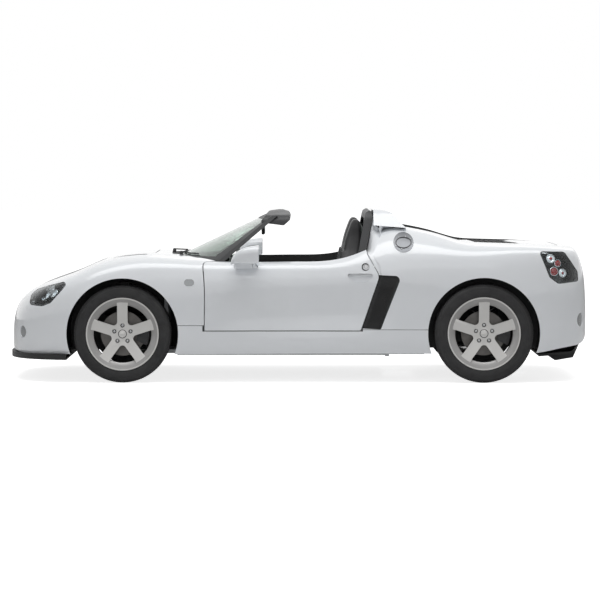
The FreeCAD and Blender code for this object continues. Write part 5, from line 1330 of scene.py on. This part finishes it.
@dataclass
class Trim:
    """Small fittings: mirror glass, locks, handles, cap ring, gear lever, dials and wipers.

    Attributes:
        nodes: The CAD nodes.
        lock: X and Z of the door's lock.
        pull: X and Z of the middle of the door's pull.
        pull_length: Length of the pull's slot, and of the painted shadow strip along it.
        flap_size: Length and height of the pull's flap.
        dials: Y of the two dials.
        wipers: Y of each wiper's pivot, and the blade's length.
        scuttle_half: Half of the cowl's width.
        scuttle_steps: Its steps across.
        bonnet_end: X from which the bonnet's rear edge is looked for.
        stride: Distance between two tries in that search.
        mirror_size: Size of the inside mirror's head.
    """

    nodes: dict[str, bpy.types.Object]
    lock: tuple[float, float] = (0.435, 0.748)
    pull: tuple[float, float] = (0.401, 0.6985)
    pull_length: float = 0.150
    flap_size: tuple[float, float] = (0.146, 0.011)
    dials: tuple[float, float] = (-0.385, -0.265)
    wipers: tuple[tuple[float, float], ...] = ((-0.34, 0.44), (0.08, 0.40))
    scuttle_half: float = 0.55
    scuttle_steps: int = 44
    bonnet_end: float = -0.90
    stride: float = 0.003
    mirror_size: tuple[float, float, float] = (0.022, 0.215, 0.062)

    def build(self) -> None:
        """Build every fitting."""
        self._mirror_glass()
        self._door_hardware()
        self._filler_ring()
        self._gear_lever()
        self._dials()
        self._scuttle()
        self._wipers()
        self._inside_mirror()

    def _mirror_glass(self) -> None:
        """Glass on the rear face of both door mirrors, in a black rim."""
        for side, _ in SIDES:
            node = self.nodes[f"mirror_{side}"]
            mesh = bmesh.new()
            mesh.from_mesh(node.data)
            mesh.transform(node.matrix_world)
            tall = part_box(f"mirror_{side}")[1].z
            others = [f for f in mesh.faces if f.normal.x < 0.8 or f.calc_center_median().z < tall - 0.13]
            bmesh.ops.delete(mesh, geom=others, context="FACES")
            bmesh.ops.remove_doubles(mesh, verts=mesh.verts, dist=1e-5)
            centre = sum((v.co for v in mesh.verts), Vector()) / len(mesh.verts)
            for vert in mesh.verts:
                vert.co = centre + (vert.co - centre) * 0.9 + Vector((0.002, 0, 0))
            rim = mesh.copy()
            bmesh.ops.scale(rim, vec=(1, 1.07, 1.07), space=Matrix.Translation(-centre), verts=rim.verts)
            bmesh.ops.translate(rim, vec=(-0.0012, 0, 0), verts=rim.verts)
            piece(f"mirror_rim_{side}", rim, BLACK_ABS, f"door_{side}", "black_plastic")
            piece(f"mirror_glass_{side}", mesh, MIRROR_GLASS, f"door_{side}", "glass")

    def _door_hardware(self) -> None:
        """Lock barrels and handle flaps in the door skins."""
        for side, sign in SIDES:
            skin = Skin(self.nodes[f"door_{side}"])
            spot, normal = skin.beside(*self.lock, sign)
            seat = spot + normal * 0.005
            lock = spun([(-0.004, 0), (-0.004, 0.0235), (0.001, 0.0235), (0.0025, 0.022), (0.0025, 0.0185),
                         (0.001, 0.0175), (0.001, 0.0145), (0.0032, 0.0125), (0.0036, 0)], normal, seat, 40)
            piece(f"door_lock_{side}", lock, ZINC, f"door_{side}", "wheel")
            rim = spun([(-0.004, 0.0285), (0.0006, 0.0285), (0.0012, 0.0272), (0.0006, 0.0240),
                        (-0.004, 0.0240)], normal, seat, 40, closed=True)
            piece(f"door_lock_rim_{side}", rim, BLACK_ABS, f"door_{side}", "black_plastic")
            self._pull_shadow(skin, side, sign)
            flap = bmesh.new()
            bmesh.ops.create_grid(flap, x_segments=24, y_segments=3, size=0.5)
            # The skin is read just over the pull, where it is still flat.
            for vert in flap.verts:
                x = self.pull[0] + vert.co.x * self.flap_size[0]
                z = self.pull[1] + vert.co.y * self.flap_size[1]
                hit, out = skin.beside(x, 0.716, sign)
                vert.co = Vector((x, hit.y - out.y * 0.002, z))
            handle = bmesh.ops.extrude_face_region(flap, geom=flap.faces[:])
            for item in handle["geom"]:
                if isinstance(item, bmesh.types.BMVert):
                    item.co.y -= sign * 0.008
            made = piece(f"door_handle_{side}", flap, PEARL, f"door_{side}", "paint")
            bevelled(made, 1.5)

    def _pull_shadow(self, skin: Skin, side: str, sign: int) -> None:
        """Painted shadow: a gloss black strip laid on the door skin where the finger slot along the top of
        the door's pull lies in shade.

        Args:
            skin: The door's surface.
            side: "left" or "right".
            sign: -1 on the left, 1 on the right.
        """
        # Painted shadow: a gloss black sheet just outside the skin, where the pull's slot is in shade.
        slot = bmesh.new()
        bmesh.ops.create_grid(slot, x_segments=30, y_segments=1, size=0.5)
        for vert in slot.verts:
            share = vert.co.x * 2
            x = self.pull[0] + vert.co.x * self.pull_length
            low = 0.0085 * math.sqrt(max(0.0, 1 - share ** 2))
            z = 0.7105 - (low if vert.co.y < 0 else 0.0)
            spot, _ = skin.beside(x, 0.7165, sign)
            vert.co = Vector((x, spot.y + sign * 0.0008, z))
        piece(f"door_pull_painted_shadow_{side}", slot, GLOSS_BLACK, f"door_{side}", "black_plastic")

    def _filler_ring(self) -> None:
        """A dark ring and eight small bolts on the fuel cap."""
        middle, _ = middle_and_half("fuel_cap")
        spot, normal = Skin(self.nodes["fuel_cap"]).beside(middle.x, middle.z)
        ring = spun([(-0.001, 0.0465), (0.0012, 0.0470), (0.0018, 0.050), (0.0012, 0.0515), (-0.001, 0.052)],
                    normal, spot, 64)
        piece("filler_ring", ring, CAST_IRON, "body", "black_plastic")
        heads = []
        side = normal.orthogonal().normalized()
        for step in range(8):
            place = spot + Matrix.Rotation(math.radians(45 * step + 22), 3, normal) @ side * 0.0575
            heads.append(spun([(-0.001, 0), (-0.001, 0.0032), (0.0012, 0.0030), (0.0018, 0.0018),
                               (0.0012, 0.0014), (0.0012, 0)], normal, place, 12))
        piece("filler_bolts", joined(heads), ZINC, "body", "wheel")

    @staticmethod
    def _gear_lever() -> None:
        """Gear lever with its gaiter and knob."""
        low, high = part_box("centre_console")
        foot = Vector(((low.x + high.x) / 2 - 0.10, 0, high.z - 0.004))
        up = Vector((0.12, 0, 1)).normalized()
        gaiter = spun([(0, 0.040), (0.006, 0.037), (0.012, 0.030), (0.018, 0.031), (0.026, 0.022),
                       (0.033, 0.023), (0.042, 0.012), (0.046, 0.008)], up, foot, 36)
        piece("gear_gaiter", gaiter, LEATHER, "body", "trim")
        lever = rod_between(foot + up * 0.03, foot + up * 0.095, 0.005)
        piece("gear_lever", lever, STAINLESS, "body", "wheel")
        knob = spun([(-0.022, 0), (-0.021, 0.008), (-0.014, 0.018), (0, 0.0235), (0.014, 0.0195),
                     (0.021, 0.009), (0.0225, 0)], up, foot + up * 0.112, 36)
        piece("gear_knob", knob, WHEEL_SILVER, "body", "wheel")

    def _dials(self) -> None:
        """Two dials in their cowls, facing the driver."""
        skin = Skin(self.nodes["dashboard"])
        marks, faces, rims = [], [], []
        aim = Vector((1, 0, 0.12)).normalized()
        up = Vector((-0.12, 0, 1)).normalized()
        right = aim.cross(up)
        for across in self.dials:
            spot, _ = skin.hit((0.2, across, 0.765), (-1, 0, 0))
            rims.append(spun([(0, 0.050), (0.010, 0.052), (0.013, 0.050), (0.013, 0.046), (0.004, 0.044),
                              (0, 0.044)], aim, spot, 48, closed=True))
            faces.append(spun([(0.003, 0.0455), (0.003, 0)], aim, spot, 48))
            front = spot + aim * 0.0036
            for step in range(13):
                turn = math.radians(-135 + 22.5 * step)
                way = up * math.cos(turn) + right * math.sin(turn)
                marks.append(rod_between(front + way * 0.034, front + way * 0.042, 0.0009, 6))
            needle = up * math.cos(math.radians(-120)) + right * math.sin(math.radians(-120))
            front = spot + aim * 0.005
            marks.append(rod_between(front, front + needle * 0.034, 0.0011, 8))
        piece("dial_faces", joined(faces), GLOSS_BLACK, "body", "trim")
        piece("dial_rims", joined(rims), ZINC, "body", "trim")
        piece("dial_marks", joined(marks), DIAL_WHITE, "body", "trim")

    def _scuttle(self) -> None:
        """The black cowl in the slot between the bonnet's edge and the screen."""
        bonnet, screen = Skin(self.nodes["front_clam"]), Skin(self.nodes["windscreen_frame"])
        cowl = bmesh.new()
        rows = []
        for step in range(self.scuttle_steps + 1):
            across = -self.scuttle_half + 2 * self.scuttle_half * step / self.scuttle_steps
            nose = self._edge(bonnet, across, self.bonnet_end, True)
            tail = self._edge(screen, across, nose.x, False)
            sag = (nose + tail) / 2 - Vector((0, 0, 0.008))
            rows.append([cowl.verts.new(spot) for spot in (
                nose - Vector((0, 0, 0.016)), nose + Vector((0.001, 0, -0.006)), sag,
                tail + Vector((-0.001, 0, -0.003)), tail - Vector((0.001, 0, 0.016)))])
        for left, right in zip(rows, rows[1:]):
            for number in range(4):
                cowl.faces.new((left[number], right[number], right[number + 1], left[number + 1]))
        piece("scuttle_cowl", cowl, BLACK_ABS, "body", "black_plastic", 60)

    def _wipers(self) -> None:
        """Two wipers that start in the cowl and lie on the glass."""
        bonnet, glass = Skin(self.nodes["front_clam"]), Skin(self.nodes["windscreen"])
        parts = []
        for across, reach in self.wipers:
            pivot = self._edge(bonnet, across, self.bonnet_end, True) + Vector((0.012, 0, -0.006))
            knuckle = pivot + Vector((0, 0, 0.024))
            parts.append(spun([(0, 0), (0, 0.013), (0.024, 0.011), (0.029, 0.007), (0.030, 0)],
                              Vector((0, 0, 1)), pivot, 24))
            heel, up = self._low_on(glass, across + 0.10)
            parts.append(rod_between(knuckle, heel + up * 0.016, 0.0045, 12))
            ends = [self._low_on(glass, across - 0.10 + reach * part / 10) for part in range(11)]
            ends = [foot + out * 0.008 for foot, out in ends]
            parts += [rod_between(low, high, 0.0048, 10) for low, high in zip(ends, ends[1:])]
        piece("wipers", joined(parts), BLACK_ABS, "body", "black_plastic")

    def _edge(self, skin: Skin, across: float, start: float, leaving: bool) -> Vector:
        """Where a surface ends or begins along the car, seen from above.

        Args:
            skin: The surface.
            across: The place's Y.
            start: X where the search starts.
            leaving: True to find where it ends, False to find where it begins.

        Returns:
            The last or the first place on it.
        """
        last = Vector((start, across, 0.81))
        for step in range(130):
            try:
                spot, _ = skin.below(start + self.stride * step, across)
            except ValueError:
                spot = None
            if spot is None or spot.z < 0.70:
                if leaving and step:
                    return last
                continue
            last = spot
            if not leaving:
                return last
        return last

    @staticmethod
    def _low_on(glass: Skin, across: float) -> tuple[Vector, Vector]:
        """A place a little above the glass's lower edge.

        Args:
            glass: The windscreen's surface.
            across: The place's Y.

        Returns:
            The place and the glass's normal there.
        """
        for step in range(60):
            along = -0.84 + 0.01 * step
            try:
                glass.below(along, across)
            except ValueError:
                continue
            return glass.below(along + 0.035, across)
        raise ValueError("no glass there")

    def _inside_mirror(self) -> None:
        """The rear-view mirror on its stem under the screen's header."""
        head = soft_block(self.mirror_size, 0.010, 6)
        glass = Skin(self.nodes["windscreen"])
        top, _ = glass.hit((-0.30, 0.0, 0.5), (0, 0, 1))
        place = top + Vector((0.062, 0, -0.065))
        moved(head, Matrix.Translation(place))
        stem = rod_between(top - Vector((0, 0, 0.004)), place + Vector((-0.006, 0, 0.01)), 0.006)
        piece("inside_mirror", joined([head, stem]), BLACK_ABS, "body", "black_plastic", 50)
        face = soft_block((0.003, 0.203, 0.052), 0.0014, 3)
        moved(face, Matrix.Translation(place + Vector((0.0112, 0, 0))))
        piece("inside_mirror_glass", face, MIRROR_GLASS, "body", "glass")


@dataclass
class Studio:
    """Floor, light and camera. None of it belongs to the car.

    Attributes:
        near_plane: Y of the flank, where the picture's scale holds.
        distance: From there to the eye, long enough to look as flat as the photograph.
        field_of_view: Width of the picture at the flank.
        eye_height: Height of the eye.
        look_height: Height of the picture's middle.
        look_along: X of the picture's middle.
        fill: Size of each side's fill lamp.
        world_level: Strength of the light all round.
        floor_lift: Brightness of the floor to the eye, near the car.
        floor_fade: Part of the gradient over which it turns white.
        floor_scale: How much of the floor the gradient covers.
    """

    near_plane: float = -0.80
    distance: float = 18.7
    field_of_view: float = 3.86
    eye_height: float = 1.45
    look_height: float = 0.536
    look_along: float = 0.008
    fill: tuple[float, float] = (6.0, 1.6)
    world_level: float = 0.31
    floor_lift: float = 0.80
    floor_fade: float = 0.35
    floor_scale: float = 0.16

    def build(self) -> None:
        """Build the stage."""
        self._floor()
        self._world()
        self._lamp("overhead softbox", (0.0, -1.6, 6.0), (0, 0, 0.5), (8.0, 3.4), 250)
        self._lamp("side fill", (-1.5, -7.5, 3.6), (0, 0, 0.5), self.fill, 14)
        self._lamp("rear fill", (1.5, 7.5, 3.6), (0, 0, 0.5), self.fill, 14)
        self._camera()

    def _floor(self) -> None:
        """A pale floor that shows white to the eye and keeps the car's shadow."""
        mesh = bmesh.new()
        bmesh.ops.create_grid(mesh, x_segments=1, y_segments=1, size=60)
        data = bpy.data.meshes.new("studio_floor")
        mesh.to_mesh(data)
        mesh.free()
        floor = bpy.data.objects.new("studio_floor", data)
        bpy.context.scene.collection.objects.link(floor)
        made = bpy.data.materials.new("pale studio floor")
        made.use_nodes = True
        tree = made.node_tree
        tree.nodes.clear()
        path = add(tree, "LightPath")
        matt = add(tree, "BsdfDiffuse", {"Color": linear("#F0F0F0")})
        place = add(tree, "Mapping", {"Scale": (self.floor_scale,) * 3},
                    {"Vector": add(tree, "TexCoord").outputs["Object"]})
        near = add(tree, "TexGradient", {}, {"Vector": place.outputs[0]}, gradient_type="SPHERICAL")
        level = add(tree, "MapRange", {"From Max": self.floor_fade, "To Min": 1.0, "To Max": self.floor_lift},
                    {"Value": near.outputs["Fac"]})
        seen = add(tree, "Math", {}, {0: path.outputs["Is Camera Ray"], 1: level.outputs[0]},
                   operation="MULTIPLY")
        lift = add(tree, "Emission", {"Color": (1, 1, 1, 1)}, {"Strength": seen.outputs[0]})
        both = add(tree, "AddShader", {}, {0: matt.outputs[0], 1: lift.outputs[0]})
        add(tree, "OutputMaterial", {}, {"Surface": both.outputs[0]})
        data.materials.append(made)

    def _world(self) -> None:
        """Plain light all round, white where it is seen."""
        world = bpy.data.worlds.new("studio")
        bpy.context.scene.world = world
        world.use_nodes = True
        tree = world.node_tree
        tree.nodes.clear()
        path = add(tree, "LightPath")
        seen = add(tree, "Math", {}, {0: path.outputs["Is Camera Ray"], 1: path.outputs["Is Glossy Ray"]},
                   operation="ADD", use_clamp=True)
        seen = add(tree, "Math", {}, {0: seen.outputs[0], 1: path.outputs["Is Transmission Ray"]},
                   operation="ADD", use_clamp=True)
        level = add(tree, "MapRange", {"To Min": self.world_level, "To Max": 1.0}, {"Value": seen.outputs[0]})
        light = add(tree, "Background", {"Color": (1, 1, 1, 1)}, {"Strength": level.outputs["Result"]})
        add(tree, "OutputWorld", {}, {"Surface": light.outputs[0]})

    @staticmethod
    def _lamp(name: str, place: tuple[float, float, float], aim: tuple[float, float, float],
              size: tuple[float, float], power: float) -> None:
        """Hang one softbox.

        Args:
            name: Its name.
            place: Where it hangs.
            aim: What it points at.
            size: Its two sides.
            power: Its power in watts.
        """
        data = bpy.data.lights.new(name, "AREA")
        data.shape = "RECTANGLE"
        data.size, data.size_y = size
        data.energy = power
        lamp = bpy.data.objects.new(name, data)
        bpy.context.scene.collection.objects.link(lamp)
        lamp.location = place
        lamp.rotation_euler = (Vector(aim) - Vector(place)).to_track_quat("-Z", "Y").to_euler()

    def _camera(self) -> None:
        """A long lens from the side, at eye height, as in the photograph."""
        data = bpy.data.cameras.new("camera")
        data.lens = data.sensor_width / 2 / (self.field_of_view / 2 / self.distance)
        camera = bpy.data.objects.new("camera", data)
        bpy.context.scene.collection.objects.link(camera)
        eye = Vector((self.look_along, self.near_plane - self.distance, self.eye_height))
        aim = Vector((self.look_along, self.near_plane, self.look_height))
        camera.location = eye
        camera.rotation_euler = (aim - eye).to_track_quat("-Z", "Y").to_euler()
        data.clip_end = 200
        bpy.context.scene.camera = camera


def main() -> None:
    """Load the frame and build every piece."""
    logging.basicConfig(level=logging.INFO, format="%(message)s")
    for left_over in list(bpy.data.objects):
        bpy.data.objects.remove(left_over)
    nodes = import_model()["nodes"]
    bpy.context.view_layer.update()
    bpy.context.scene.view_settings.view_transform = "Standard"
    wheels = [RoadWheel(end, side, sign) for end in ("front", "rear") for side, sign in SIDES]
    for part in (Panels(nodes), *wheels, Softened(nodes), Lamps(nodes), Quarter(nodes), IntakeMesh(nodes),
                 Seats(), Trim(nodes), Studio()):
        part.build()
        LOG.info("built %s", type(part).__name__)


if __name__ == "__main__":
    main()
